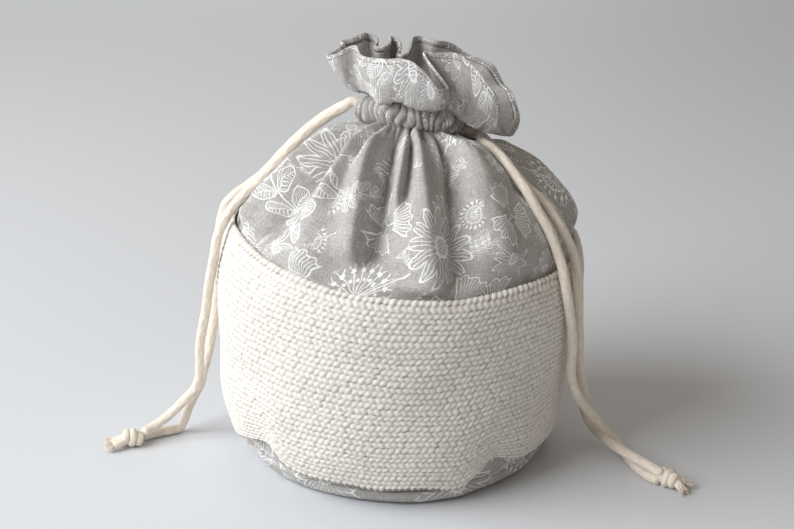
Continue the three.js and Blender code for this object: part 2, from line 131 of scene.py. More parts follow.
# Colours, as linear light
CANVAS_DARK = (0.296, 0.28, 0.267)
CANVAS_LIGHT = (0.622, 0.603, 0.584)
INK = (0.95, 0.95, 0.96)
KNIT_DARK = (0.72, 0.685, 0.635)
KNIT_LIGHT = (0.9, 0.872, 0.83)
# Painted shade of the knit: the colour that its hollows between stitches and its plain inside take
KNIT_HOLLOW_SHADE = (0.31, 0.265, 0.215)
CORD_DARK = (0.68, 0.59, 0.49)
CORD_LIGHT = (0.9, 0.83, 0.74)
LINING = (0.62, 0.58, 0.51)
WADDING = (0.85, 0.84, 0.8)
# The hem's thread: partly its own colour, partly painted shadow along the stitched line
THREAD_AND_SHADOW = (0.29, 0.27, 0.25)
FLOOR = (0.642, 0.665, 0.697)

# How broad the print's lines are, against their drawn width
LINE_WEIGHT = 0.9

# The shoulder, from the rim to the neck: share of the way out, share of the way up, lean
SHOULDER = [(0.95, 0.15, 0.9), (0.86, 0.36, 1), (0.66, 0.62, 1), (0.4, 0.84, 0.7), (0.16, 0.955, 0.3)]
PLEATS = 27
CASING_PLEATS = 38
PLEAT_DEPTH = 2.9
# The casing's outline, as radius and height from its middle, and its bulges: angle, width, how far out
CASING_OUTLINE = [(21.6, -6.6), (23.4, -3.4), (24.9, 0.4), (23.4, 4.4)]
CASING_BULGES = [(194, 17, 4), (-42, 12, 1.5)]
# The inner side of the casing, from the seam below it to the ruffle's foot
CASING_INSIDE = [(19, -7.4), (16.6, -7), (12.7, -5.4), (11.9, 0), (12.4, 5), (16.2, 8.6)]

# The cloths
SEAM_HEIGHT = 20.3
CANVAS_COLUMNS = 401
CANVAS_STEP = 1.1
HIDDEN_STEP = 9
CLOTH_RADIUS = 86
HALF_CANVAS = 0.3
# How far the outer and the inner face of the cloths behind it lie from its middle
FACING_FACES = (-0.6, -1.05)
LINING_FACES = (-1.6, -2.3)
CASING_CLOTH = 0.7
# The facing: its rows in the casing, how far they reach below the ruffle, and how far it ends from the hem
FACING_ROWS = 25
FACING_DROP = 32
FACING_HEM = 2.4
# The lining's edge, turned in below the base's lining: its length, and its place as a share of the radius
LINING_TURN = 16
LINING_SHARE = 0.925
# The hem's roll beyond the cloth's edge: how far along the cloth and how far back
HEM_ROLL = [(0.3, 0.1), (0.4, 0.4), (0.35, 0.8), (0.05, 1.15), (-1.2, 1.25), (-2.6, 1.4), (-2.7, 1)]

# The bottom, as radius and height: the base's outline up to the band, the wadding and the lining over it
BASE_OUTLINE = [
    (0.4, 0), (30, 0), (55, 0), (70, 0.05), (74, 0.3), (77.6, 1.6), (79.9, 3.9), (80.4, 6.2), (79.6, 8.2),
]
WADDING_OUTLINE = [(0.4, 1.3), (71, 1.3), (72.6, 2.2), (73, 3.4), (72.2, 4.6), (70, 5.1), (40, 5.4), (0.4, 5.5)]
BASE_LINING_OUTLINE = [(0.4, 5.7), (71, 5.5), (72.8, 5.6), (72.8, 6.3), (71, 6.3), (0.4, 6.5)]

# The hem's stitches: how far from its edge, how far apart, how long, and how thick along one stitch
HEM_LINE = 1.7
HEM_SPACING = 2
HEM_STITCH = 1.35
HEM_THREAD = np.array([0.08, 0.26, 0.3, 0.3, 0.26, 0.08])

# Folds of the shoulder: width before and after in degrees, height, and places (share of the way up, angle)
FOLDS = [
    (9, 4.5, 6.7, [(0.01, -164), (0.14, -164.5), (0.39, -160), (0.63, -163.5), (0.85, -167)]),
    (3.8, 9, -9.6, [(0.16, -151), (0.35, -149), (0.54, -148.5), (0.79, -151), (1, -153)]),
    (5, 9, 7.5, [(0, -124), (0.2, -128), (0.41, -129), (0.65, -131), (0.83, -135.5), (1, -142)]),
    (4.5, 4.5, -6.4, [(0.45, -124.5), (0.58, -127), (0.88, -128), (1, -125.5)]),
    (7, 3.4, 7.2, [(0.21, -110), (0.4, -112.5), (0.58, -116), (0.76, -119), (1, -120)]),
    (2.8, 5.5, -10.1, [(0.2, -105.5), (0.4, -105), (0.54, -106.5), (0.7, -108), (0.88, -109), (1, -105)]),
    (3, 3, 5.5, [(0.46, -99), (0.58, -98.5), (0.72, -98), (0.9, -98), (1, -99)]),
    (2.4, 3, -6, [(0.53, -95.5), (0.66, -94.5), (0.86, -94), (1, -95.5)]),
    (8, 4.5, 7.4, [(0.07, -83.5), (0.24, -85.5), (0.42, -87), (0.62, -88.5), (0.86, -88.5), (1, -89.5)]),
    (3, 6.5, -8.2, [(0.14, -76), (0.32, -76.5), (0.51, -75), (0.7, -72), (0.93, -68), (1, -71)]),
    (9, 7, 6.2, [(0.21, -59.5), (0.38, -59.5), (0.56, -60), (0.78, -58.5), (1, -63)]),
    (13, 2.4, 1.4, [(0.34, -38), (0.45, -42), (0.56, -45), (0.72, -46), (0.85, -42), (1, -34)]),
    (13, 2.4, 4.2, [(0.58, -45.2), (0.72, -46), (0.85, -42), (1, -34)]),
    (3.2, 12, -7, [
        (0.06, -28), (0.2, -30.5), (0.32, -31), (0.45, -34), (0.56, -37.5), (0.72, -39), (0.85, -34), (1, -26),
    ]),
    (5.5, 5.5, -3.3, [(0.1, -9), (0.45, -8), (0.8, -6)]),
    (8, 8, 3.5, [(0.17, 1), (0.34, 2.5), (0.53, 11), (0.71, 19)]),
    (5.5, 5.5, -4, [(0.1, 22), (0.4, 26), (0.8, 31), (1, 32)]),
    (9, 9, 4.2, [(0.1, 42), (0.5, 46), (0.9, 50)]),
    (5.5, 5.5, -4.8, [(0.15, 61), (0.5, 63), (0.8, 62), (1, 65)]),
    (9, 9, 4.4, [(0.05, 78), (0.5, 80), (1, 79)]),
    (5.5, 5.5, -5.3, [(0.2, 97), (0.6, 94), (1, 93)]),
    (8, 8, 4.4, [(0.1, 112), (0.5, 110), (0.9, 108)]),
    (5.5, 5.5, -4, [(0.1, 127), (0.5, 128), (1, 125)]),
    (9, 9, 4, [(0.1, 144), (0.6, 143), (1, 146)]),
    (5.5, 5.5, -4.2, [(0.2, 161), (0.6, 163), (1, 160)]),
]

# The ruffle: angle at its foot, place of its hem, place of its lip below
RUFFLE = [
    (180, -34, -2, 203, -24, -3, 189), (190, -29, -10, 206, -22, -10, 189),
    (198, -20, -11, 210, -17, -9.5, 189), (204, -18, -19, 207.6, -13, -21, 189),
    (216, -6.5, -28, 207, -8, -27, 186), (228, 2, -33, 208, 1, -30, 188), (240, 9, -36, 206, 8, -31, 185),
    (252, 15, -38, 200, 14, -31, 183.5), (262, 20, -38, 195, 19, -29, 183), (268, 24, -34, 195, 22, -26, 184),
    (273, 20, -30, 200, 21, -23, 187), (280, 12.7, -20, 208.5, 18, -18, 192),
    (286, 18, -19, 208, 23, -18.5, 188), (294, 28, -19, 208, 29, -22, 181.5),
    (301, 33, -22, 205, 33, -22.5, 177), (312, 42, -27, 196, 37.5, -22.5, 173.5),
    (322, 48, -27, 186, 40, -20, 171.5), (328, 48, -25, 179, 42, -18, 170), (344, 55, -12, 167, 42, -9, 169),
    (366, 60, 4, 174, 44, 3, 175), (374, 58, 10, 178.5, 44, 9, 178), (392, 51, 25, 189, 36, 17, 182),
    (410, 39, 32, 196, 28, 24, 186), (426, 27, 32, 203, 20, 26, 188), (438, 19, 30, 205, 14, 26, 189),
    (454, 8, 28, 206.5, 7, 25, 190), (468, 0.5, 16, 201, 1, 19, 190), (476, -3, 22, 208, -3, 21, 191),
    (484, -9, 16, 205, -7, 17, 190), (496, -15, 25, 209, -11, 20, 190), (512, -23, 18, 208, -17, 14, 190),
    (524, -27, 10, 207, -20, 8, 190),
]

# The free strands, from the casing's mouth to the knot
ROUTES = {
    "left_cord_front": [
        (-25.3, -3.6, 178.9), (-32.6, -5, 175), (-39.9, -7, 170.4), (-47.2, -9.5, 164.6), (-56.4, -12, 155.8),
        (-65.8, -14.5, 145.9), (-73, -16, 139.4), (-78.3, -17, 134), (-81.6, -17.5, 129.8),
        (-84.6, -18.6, 125.2), (-87.1, -19, 120), (-88.6, -20, 114.8), (-89.6, -20.7, 108.8),
        (-91.2, -18, 102.2), (-94.2, -13.5, 88.5), (-96.5, -9.5, 75.3), (-99.1, -6, 64.1), (-101.2, -3, 53.6),
        (-102, -1, 43.3), (-103, 0.5, 33.7), (-105.5, 2, 27.1), (-110.3, 2.5, 21.5), (-115.9, 1.5, 15.9),
        (-122.6, -1, 10.5), (-129, -5.6, 7.6), (-131.8, -8.9, 7.2),
    ],
    "left_cord_back": [
        (-25.3, 3.6, 178.2), (-33, 5.5, 173.8), (-41, 6.5, 168), (-49, 7, 161), (-57.5, 7.5, 152.4),
        (-66.2, 8, 142.8), (-74.5, 8.5, 136), (-80.7, 8.5, 131.6), (-85.8, 9.5, 126.6), (-89, 11, 119),
        (-90.8, 13.2, 110.2), (-92, 14.6, 100), (-93.2, 14.6, 85), (-94.4, 14.5, 71), (-96.2, 13.5, 58),
        (-99.2, 12, 43), (-101.8, 10.5, 34), (-103.8, 9.5, 26.4), (-107.7, 8.5, 18.8), (-110.6, 8, 12.7),
        (-112.8, 7, 6.8), (-114.9, 6.2, 3.2), (-118.9, 3.7, 2.8), (-124.4, 1.2, 2.8), (-128.4, -0.8, 2.8),
        (-131.6, -3.4, 2.8), (-134, -5.4, 3),
    ],
    "right_cord_front": [
        (40.6, -6.6, 163.2), (43.5, -18.2, 163.4), (46, -22.4, 162.3), (48.3, -26.9, 161), (51.1, -32.4, 159),
        (54, -36.3, 155.9), (57.2, -39.5, 152.2), (60.4, -42.7, 148.2), (63.6, -45, 143.3),
        (66.6, -46.4, 138.1), (69.8, -47.5, 133), (72.4, -48.5, 127.9), (75.3, -49.8, 120.7),
        (77.8, -53.4, 113), (79, -55.6, 106.9), (81, -54.1, 96.9), (83, -49, 86.1), (84.6, -45, 75.8),
        (85.3, -42, 65.7), (85.3, -40, 56.4), (86.8, -35.3, 47), (89.9, -32.8, 38.5), (95.1, -25.3, 29),
        (101.6, -18.6, 19), (108.2, -12.9, 9.8), (112.9, -13.1, 4.4), (115.7, -21.5, 2.8),
        (117.9, -30.7, 2.6), (120, -39.1, 2.6), (123.3, -46.9, 2.6), (126.3, -51.9, 2.6), (129.3, -55.3, 2.8),
    ],
    "right_cord_back": [
        (41, 1.2, 163.6), (43.6, -4, 162.2), (45.9, -14.1, 161.4), (48.9, -20, 159.4), (51.8, -25.9, 157),
        (54.7, -30.3, 154), (57.7, -33.4, 150.7), (60.9, -36, 147.7), (64.6, -37.5, 144.9),
        (68.6, -37.1, 141.3), (72.3, -38.7, 137), (76.4, -40.1, 131.2), (80.8, -39.7, 123.3),
        (84.1, -39, 115.6), (85.6, -42.6, 109.7), (86.7, -43, 102.8), (87.4, -42, 92.7), (88.3, -37.5, 80.6),
        (89.6, -33, 68.9), (90.5, -28.5, 58), (92.5, -23, 44), (95.2, -15.3, 33), (96.7, -7.6, 21),
        (98.7, -5, 14.5), (101.1, -4.7, 10), (104, -7.3, 7), (107, -14.8, 6.6), (110.3, -24.4, 7.4),
        (113.7, -33.1, 8.2), (117.4, -39.3, 8.4), (121.1, -45, 8.3), (124.8, -49.9, 8), (128, -54.1, 7.6),
        (130.3, -56.7, 7),
    ],
}


def add_camera():
    """The camera, which looks at the bag from the front."""
    data = bpy.data.cameras.new("camera")
    data.lens = LENS
    data.sensor_width = 36
    camera = bpy.data.objects.new("camera", data)
    camera.location = CAMERA_PLACE
    camera.rotation_euler = (math.radians(CAMERA_TURN), 0, 0)
    bpy.context.scene.collection.objects.link(camera)
    bpy.context.scene.camera = camera


def loop_faces(rows, columns):
    """The quads of a grid of points stored row by row, whose last row joins its first."""
    r, c = np.meshgrid(np.arange(rows), np.arange(columns - 1), indexing="ij")
    a, b = (r * columns + c).ravel(), ((r + 1) % rows * columns + c).ravel()
    return np.stack([a, a + 1, b + 1, b], 1).tolist()


def tube_faces(rows, sides):
    """The quads between rings of points, and a face over each end."""
    r, c = np.meshgrid(np.arange(rows - 1), np.arange(sides), indexing="ij")
    a, b = (r * sides + c).ravel(), (r * sides + (c + 1) % sides).ravel()
    quads = np.stack([a, b, b + sides, a + sides], 1).tolist()
    return [*quads, list(range(sides))[::-1], [(rows - 1) * sides + c for c in range(sides)]]


def add_mesh(name, points, faces, uvs, material):
    """A smooth mesh. Its uvs, one for each point, are in metres of cloth or cord."""
    mesh = bpy.data.meshes.new(name)
    mesh.from_pydata([tuple(p) for p in points], [], [tuple(int(i) for i in f) for f in faces])
    layer = mesh.uv_layers.new(name="cloth")
    corners = np.zeros(len(mesh.loops), np.int32)
    mesh.loops.foreach_get("vertex_index", corners)
    layer.data.foreach_set("uv", np.asarray(uvs, np.float32)[corners].ravel())
    mesh.polygons.foreach_set("use_smooth", [True] * len(mesh.polygons))
    mesh.materials.append(material)
    mesh.update()
    piece = bpy.data.objects.new(name, mesh)
    bpy.context.scene.collection.objects.link(piece)
    return piece


def dress(piece, node, body="bag"):
    """Says which solid a piece replaces, which it hides, and the body the piece moves with."""
    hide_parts(node)
    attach(piece, body)
    return piece


def distances(points):
    """How far along its line each point lies."""
    return np.concatenate([[0], np.cumsum(np.linalg.norm(np.diff(points, axis=0), axis=1))])


def smooth_line(points, step):
    """Points a step apart along a smooth line through the given points."""
    p = np.asarray(points, float)
    p = np.concatenate([[2 * p[0] - p[1]], p, [2 * p[-1] - p[-2]]])
    knots = np.concatenate([[0], np.cumsum(np.linalg.norm(np.diff(p, axis=0), axis=1) ** 0.5)])
    fine = []
    for i in range(1, len(p) - 2):
        t = np.linspace(knots[i], knots[i + 1], 24, endpoint=False)[:, None]
        t0, t1, t2, t3 = knots[i - 1:i + 3]
        a1 = (t1 - t) / (t1 - t0) * p[i - 1] + (t - t0) / (t1 - t0) * p[i]
        a2 = (t2 - t) / (t2 - t1) * p[i] + (t - t1) / (t2 - t1) * p[i + 1]
        a3 = (t3 - t) / (t3 - t2) * p[i + 1] + (t - t2) / (t3 - t2) * p[i + 2]
        b1 = (t2 - t) / (t2 - t0) * a1 + (t - t0) / (t2 - t0) * a2
        b2 = (t3 - t) / (t3 - t1) * a2 + (t - t1) / (t3 - t1) * a3
        fine.append((t2 - t) / (t2 - t1) * b1 + (t - t1) / (t2 - t1) * b2)
    fine = np.concatenate([*fine, p[-2:-1]])
    along = distances(fine)
    wanted = np.linspace(0, along[-1], max(int(round(along[-1] / step)), 3) + 1)
    return np.stack([np.interp(wanted, along, fine[:, k]) for k in range(p.shape[1])], 1), along[-1]


def rings(path):
    """Two directions across a path at each of its points, turned as little as possible."""
    tangents = np.gradient(path, axis=0)
    tangents /= np.linalg.norm(tangents, axis=1)[:, None]
    side = np.cross(tangents[0], (0, 0, 1))
    across = []
    for tangent in tangents:
        side = side - tangent * np.dot(side, tangent)
        side /= np.linalg.norm(side)
        across.append((side, np.cross(tangent, side)))
    return np.array(across)


def braid(turn, along, radius):
    """How far the braid's strands stand out: two sets of plaited strands that cross."""
    lean = along / (radius * 1.9)
    return np.maximum(np.cos(6 * turn + lean * 3), np.cos(6 * turn - lean * 3)) * 0.5 + 0.5


def braided_tube(path, radius, sides=30):
    """Points, faces and uvs of a braided cord along a path, closed at both ends."""
    along = distances(path)
    across = rings(path)
    s, a = np.meshgrid(along, np.linspace(0, 2 * math.pi, sides + 1)[:sides], indexing="ij")
    out = radius - BRAID_RELIEF + BRAID_RELIEF * braid(a, s, radius)
    ends = np.minimum(s, along[-1] - s) / radius
    out = out * np.sqrt(np.clip(1 - (1 - np.clip(ends * 2.5, 0, 1)) ** 2, 0.04, 1))
    offset = np.cos(a)[..., None] * across[:, None, 0] + np.sin(a)[..., None] * across[:, None, 1]
    points = (path[:, None] + out[..., None] * offset).reshape(-1, 3)
    return points, tube_faces(len(path), sides), np.stack([a * radius, s], -1).reshape(-1, 2)


def thin_tube(path, thick, sides):
    """Points, faces and empty uvs of a plain tube, as thick as given at each point of its path."""
    across = rings(path)
    turn = np.linspace(0, 2 * math.pi, sides, endpoint=False)[:, None]
    ring = np.cos(turn) * across[:, None, 0] + np.sin(turn) * across[:, None, 1]
    points = (path[:, None] + thick[:, None, None] * ring).reshape(-1, 3)
    return points, tube_faces(len(path), sides), np.zeros((len(points), 2))


def joined(parts):
    """One set of points, faces and uvs from several."""
    points, faces, uvs = [], [], []
    for p, f, u in parts:
        first = sum(len(q) for q in points)
        points.append(np.asarray(p))
        uvs.append(np.asarray(u))
        faces.extend([[i + first for i in face] for face in f])
    return np.concatenate(points), faces, np.concatenate(uvs)


def casing_point(x, y, rise):
    """A place in the casing, in metres, given from the neck's middle in millimetres."""
    height = CASING_HEIGHT + rise + CASING_SLOPE[0] * x + CASING_SLOPE[1] * y
    return np.array([NECK_X + x, y, height]) * MM


def add_strand(name, side, lay, material):
    """A strand of a drawstring, from inside the casing to its knot."""
    toward, rise = SIDES[side]
    starts = [casing_point(toward * x, STRANDS[lay], rise) for x in STRAND_STARTS]
    path, length = smooth_line([*starts, *(np.array(ROUTES[name]) * MM)], CORD_STEP)
    strand = add_mesh(f"{name}_braid", *braided_tube(path, CORD_DIAMETER / 2), material)
    return dress(strand, name, f"{side}_drawstring"), path, length


def add_ring(side, material):
    """The part of a drawstring that runs round inside the casing."""
    toward, rise = SIDES[side]
    turns = np.radians(np.linspace(34, 326, 60))
    path = [casing_point(toward * RING_RADIUS * math.cos(t), RING_RADIUS * math.sin(t), rise) for t in turns]
    path, _ = smooth_line(path, 0.0008)
    ring = add_mesh(f"{side}_cord_in_casing", *braided_tube(path, CORD_DIAMETER / 2, 16), material)
    dress(ring, f"{side}_drawstring_loop")


def fibres(end, direction, up, rng):
    """The frayed end of a cord: thin tapered strands that spread from a point."""
    direction = direction / np.linalg.norm(direction)
    side = np.cross(up, direction)
    side /= np.linalg.norm(side)
    up = np.cross(direction, side)
    parts = []
    for _ in range(FIBRES):
        turn, reach = rng.uniform(0, 2 * math.pi), math.sqrt(rng.uniform(0, 1))
        out = math.cos(turn) * side + math.sin(turn) * up
        length = rng.uniform(0.0028, 0.0058)
        spread, curl = reach * rng.uniform(0.1, 0.5), rng.uniform(-0.35, 0.35)
        bend = np.cross(direction, out)
        t = np.linspace(0, 1, 7)[:, None]
        path = end + out * reach * 0.0017 + direction * (t * length - 0.001)
        path = path + out * spread * length * t ** 1.4 + bend * curl * length * t ** 2
        path[:, 2] = np.maximum(path[:, 2], 0.0003)
        parts.append(thin_tube(path, np.linspace(0.00026, 0.00009, 7), 5))
    return parts


def add_knot(side, middle, tails, roll, seed, material, reach=1.0):
    """A drawstring's knot: both cords pass through it, wrapped twice, and end in frayed tails.

    The tails point along the given direction on the floor, and reach says how long they are.
    """
    rng = np.random.default_rng(seed)
    ahead = np.array([*tails, 0.0]) / math.hypot(*tails)
    left = np.array([-ahead[1], ahead[0], 0])
    up = np.array([0, 0, 1.0])
    place = np.stack([ahead, left, up])

    def lay(points):
        return np.asarray(points, float) * MM @ place + middle

    parts = []
    for hand in (-1, 1):
        core = [
            (-5.4, 1.5 * hand, -0.8 * hand), (-2, 1.2 * hand, 0.6 * hand), (2.5, 1.3 * hand, 0.2),
            (5.5, 1.9 * hand, -0.9), (5.5 + 2.9 * reach, 2.6 * hand, -1.8),
            (5.5 + 5.1 * reach, 3.1 * hand, -2.1),
        ]
        path, _ = smooth_line(lay(core), CORD_STEP)
        parts.append(braided_tube(path, KNOT_CORD, 26))
        parts += fibres(path[-1], path[-1] - path[-6], up, rng)
    turns = np.linspace(0, 2 * math.pi * 1.85, 34)
    wrap = [(3.4 - 6.4 * t / turns[-1], 3.05 * math.cos(t + roll), 2.75 * math.sin(t + roll)) for t in turns]
    wrap = [(4.2, 0.6, -0.6), *wrap, (-3.8, -0.4, 0.4)]
    path, _ = smooth_line(lay(wrap), CORD_STEP)
    parts.append(braided_tube(path, KNOT_WRAP, 26))
    knot = add_mesh(f"{side}_overhand_knot", *joined(parts), material)
    return dress(knot, f"{side}_knot", f"{side}_drawstring")


def add_drawstrings(material):
    """Two drawstrings, each a ring in the casing and two strands that end in one knot."""
    knots = {
        "left": add_knot("left", np.array([-0.1373, -0.0108, 0.0051]), (-0.95, -0.3), 0.6, 3, material),
        "right": add_knot("right", np.array([0.1334, -0.0568, 0.0051]), (0.86, -0.5), 2.1, 8, material, 0.45),
    }
    for side, (toward, rise) in SIDES.items():
        add_ring(side, material)
        for lay, y in STRANDS.items():
            name = f"{side}_cord_{lay}"
            strand, path, length = add_strand(name, side, lay, material)


def turn_from(degrees, at):
    """How many degrees one angle lies past another, the short way round."""
    return (degrees - at + 180) % 360 - 180


def bump(degrees, at, width):
    """A soft bump that is 1 at an angle and fades over a width on both sides."""
    return np.exp(-((turn_from(degrees, at) / width) ** 2))


def bumps(degrees, table):
    """The sum of several bumps, each given by its angle, width and height."""
    return sum(height * bump(degrees, at, width) for at, width, height in table)


def seam_side(start):
    """Which way from the side seams a half lies."""
    return 1 if start == HALVES["back"] else -1


def rim_height(degrees):
    """Height of the band's top edge, which is highest at the left."""
    leftward = ((1 - np.cos(np.radians(degrees))) / 2) ** 3
    return RIM_HEIGHT + RIM_RISE * leftward + bumps(degrees, RIM_LUMPS)


def by_angle(table, degrees, soft=2.5):
    """Reads a closed table of values by angle, and rounds its corners a little."""
    return np.mean([np.interp(degrees + d, *table.T, period=360) for d in np.linspace(-soft, soft, 5)], axis=0)


def seam_rise(degrees):
    """How far the seam between the base and the wall lifts where the band is puckered."""
    return bumps(degrees, SEAM_LIFTS)


def wall(height):
    """Outer radius of the band at a height, and the sideways place of its middle."""
    shares = [np.asarray(height, float) / RIM_HEIGHT + d for d in np.linspace(-0.06, 0.06, 9)]
    radius, middle = (np.mean([np.interp(s, WALL[:, 0], WALL[:, k]) for s in shares], axis=0) for k in (1, 2))
    return BAND_RADIUS * radius, WALL_LEAN * middle


def stitches(u, v):
    """Relief of the knitting, from 0 in the hollows to 1 on the stitches, u stitches round and v rows up.

    Each row is a ridge with a deep groove on both sides. Its stitches are staggered by half against the next
    row's, lean the other way and reach in between them. A taller, slanted row goes over the rim.
    """
    rng = np.random.default_rng(11)
    tops = np.cumsum(rng.uniform(0.8, 1.2, STITCH_ROWS))
    tops = np.concatenate([[0], tops / tops[-1] * STITCH_ROWS, [STITCH_ROWS + 2, STITCH_ROWS + 4]])
    size = (STITCH_ROWS + 2, STITCHES_ROUND)
    shift, tall = rng.uniform(-0.09, 0.09, size), rng.uniform(0.8, 1, size)
    raised = rng.uniform(-0.09, 0.09, size)
    sway = 0.2 * np.sin(u * 0.13 + 1) + 0.14 * np.sin(u * 0.41 + v * 0.35) + 0.07 * np.sin(u * 1.3 + v)
    wavy = v + sway * np.sin(math.pi * np.clip(v / STITCH_ROWS, 0, 1)) ** 0.5
    here = np.clip(np.searchsorted(tops, wavy, side="right") - 1, 0, STITCH_ROWS)
    relief = np.zeros_like(u)
    for row_step in (-1, 0, 1):
        row = np.clip(here + row_step, 0, STITCH_ROWS)
        slant = np.where(row == STITCH_ROWS, 0.7, np.where(row % 2 == 0, 0.45, -0.3))
        up = 2 * (wavy - tops[row]) / (tops[row + 1] - tops[row]) - 1
        across = u - 0.5 * (row % 2) - 0.5 * slant * up
        for step in (-1, 0, 1):
            column = np.floor(across).astype(int) + step
            place = (row, column % STITCHES_ROUND)
            off = across - column - 0.5 - shift[place]
            reach = 1.03 + 0.14 * np.cos(2 * math.pi * np.clip(off, -0.6, 0.6))
            ridge = np.sqrt(np.clip(1 - np.abs((up - raised[place]) / reach) ** 2.3, 0, 1))
            slit = 1 - 0.56 * np.clip(np.abs(2 * off), 0, 1.2) ** 3.6
            inside = np.abs(off) < 0.58
            relief = np.maximum(relief, np.where(inside, ridge * slit * tall[place], 0))
    return relief


def band_half(name, node, start, material):
    """Half of the knitted band: dense stitches outside and over the rim, and a plain inside."""
    columns = STITCHES_ROUND // 2 * POINTS_PER_STITCH + 1
    degrees = np.linspace(start, start + 180, columns)
    low, high = by_angle(LOW_EDGE, degrees), rim_height(degrees)
    half = BAND_THICKNESS / 2

    def row_height(share):
        """Rows lie level, and only the lowest ones follow the puckered edge."""
        level = BAND_BOTTOM + half + (high - BAND_BOTTOM - 2 * half) * share
        return level + (low - BAND_BOTTOM) * (1 - share) ** 4.5

    def edge(middle, turn, weight, v):
        """A section on the rounded edge, above or below the middle of the band's thickness."""
        up, out = math.sin(turn), math.cos(turn)
        return middle + half * up, half * out, up, out, weight, v

    # Each section: height, place across the band, its normal upwards and outwards, share of the relief, row
    sections = [edge(low + half, turn, 0.7, -0.3) for turn in np.radians(np.linspace(-160, -18, 6))]
    for share in np.arange(STITCH_ROWS * POINTS_PER_STITCH + 1) / (STITCH_ROWS * POINTS_PER_STITCH):
        sections.append((row_height(share), half, 0, 1, 1, share * STITCH_ROWS))
    for i, turn in enumerate(np.radians(np.linspace(11, 174, 14))):
        sections.append(edge(high - half, turn, 1.2 if i < 11 else 0.5, STITCH_ROWS + (i + 1) / 7.01))
    sections += [(row_height(share), -half, 0, -1, 0, 0) for share in (0.9, 0.65, 0.4, 0.15)]
    rows = len(sections)
    heights = np.stack([s[0] for s in sections])
    out, normal_up, normal_out, weight, v = (np.array([s[k] for s in sections])[:, None] for k in range(1, 6))
    v = v + 0 * heights
    u = (degrees[None] + 180) / 360 * STITCHES_ROUND + 0 * heights
    relief = stitches(u, np.maximum(v, 0))
    radius, middle = wall(heights)
    sway = 0.5 * np.sin(np.radians(degrees * 5 + 40))[None] * np.sin(heights / 17)
    sway = sway + 0.35 * np.sin(np.radians(degrees * 11))[None] * np.sin(heights / 9 + 1)
    for at, height, width, tall, depth in DENTS:
        sway = sway - depth * bump(degrees, at, width)[None] * np.exp(-(((heights - height) / tall) ** 2))
    sway = sway + bumps(degrees, SEAM_PINCHES)[None]
    lift = weight * (STITCH_DEPTH * relief - STITCH_SINK) + sway * (weight > 0)
    across = radius - half + out + lift * normal_out
    x = middle + across * np.cos(np.radians(degrees))
    y = across * np.sin(np.radians(degrees))
    y[:, [0, -1]] = BAND_SEAM_GAP * seam_side(start)
    z = heights + lift * normal_up
    points = np.stack([x, y, z], -1).reshape(-1, 3) * MM
    girth = np.radians(degrees)[None] * BAND_RADIUS + 0 * heights
    uvs = np.stack([girth, v * STITCH_TALL], -1).reshape(-1, 2) * MM
    side = [r * columns for r in range(rows)]
    faces = [*loop_faces(rows, columns), side, [first + columns - 1 for first in side][::-1]]
    piece = add_mesh(name, points, faces, uvs, material)
    # Painted shade: 1 over the plain inside and high in the hollows between stitches, low on their tops
    hollow_shade = piece.data.attributes.new("hollow_shade", "FLOAT", "POINT")
    hollow_shade.data.foreach_set("value", (1 - relief * (weight > 0)).ravel().astype(np.float32))
    return dress(piece, node)


def casing_rise(degrees, radius):
    """The casing slopes: its front and its left stand higher."""
    turn = np.radians(degrees)
    return radius * (CASING_SLOPE[0] * np.cos(turn) + CASING_SLOPE[1] * np.sin(turn))


def around(table, degrees):
    """Reads a closed table of places by angle, along a smooth line through its rows."""
    table = np.asarray(table, float)
    at, values = table[:, 0], table[:, 1:]
    at = np.concatenate([at[-2:] - 360, at, at[:3] + 360])
    values = np.concatenate([values[-2:], values, values[:3]])
    slopes = np.gradient(values, at, axis=0)
    turn = (np.asarray(degrees, float) - table[0, 0]) % 360 + table[0, 0]
    i = np.clip(np.searchsorted(at, turn, side="right") - 1, 0, len(at) - 2)
    gap = (at[i + 1] - at[i])[:, None]
    t = (turn - at[i])[:, None] / gap
    start = (2 * t ** 3 - 3 * t ** 2 + 1) * values[i] + (t ** 3 - 2 * t ** 2 + t) * gap * slopes[i]
    return start + (3 * t ** 2 - 2 * t ** 3) * values[i + 1] + (t ** 3 - t ** 2) * gap * slopes[i + 1]


def ring_row(degrees, radius, height, middle):
    """A row of points round a middle that lies to one side."""
    turn = np.radians(degrees)
    return np.stack([middle + radius * np.cos(turn), radius * np.sin(turn), height + 0 * turn], -1)


def body_rows(degrees, lowest):
    """Rows of the canvas behind the band, up to the rim."""
    high = rim_height(degrees)
    rows = []
    for share in (0, 0.3, 0.62, 0.85, 0.93, 1):
        height = lowest + (high - lowest) * share
        radius, middle = wall(height)
        rows.append(ring_row(degrees, radius - CANVAS_INSET, height, middle))
    return rows


def shoulder_rows(degrees):
    """Rows of the canvas from the rim to just below the casing."""
    high = rim_height(degrees)
    radius, middle = wall(high)
    radius = radius - CANVAS_INSET
    neck = CASING_HEIGHT - 7.2 + casing_rise(degrees, NECK_RADIUS)
    rows = []
    for out, up, lean in SHOULDER:
        across = NECK_RADIUS + (radius - NECK_RADIUS) * out
        centre = NECK_X + (middle - NECK_X) * out + 5 * lean
        rows.append(ring_row(degrees, across, high + (neck - high) * up, centre))
    return rows


def casing_rows(degrees, shape):
    """Rows of the casing's cloth from an outline of radius and height. Its outer side has bulges."""
    bulge = bumps(degrees, CASING_BULGES)
    rows = []
    for radius, rise in shape:
        here = radius + bulge * (radius > NECK_RADIUS + 0.5)
        rows.append(ring_row(degrees, here, CASING_HEIGHT + rise + casing_rise(degrees, radius), NECK_X))
    return rows


def ruffle_rows(degrees):
    """Rows of the ruffle from just above the casing to its hem."""
    places = around(RUFFLE, degrees)
    hem, lip = places[:, :3], places[:, 3:]
    pinch = casing_rows(degrees, [(NECK_RADIUS - 1, 7.6)])[0]
    below = pinch * 0.45 + lip * 0.55
    below[:, 2] += 0.6
    above = lip * 0.45 + hem * 0.55 + 0.12 * (lip - pinch)
    return [pinch, below, lip, above, hem]


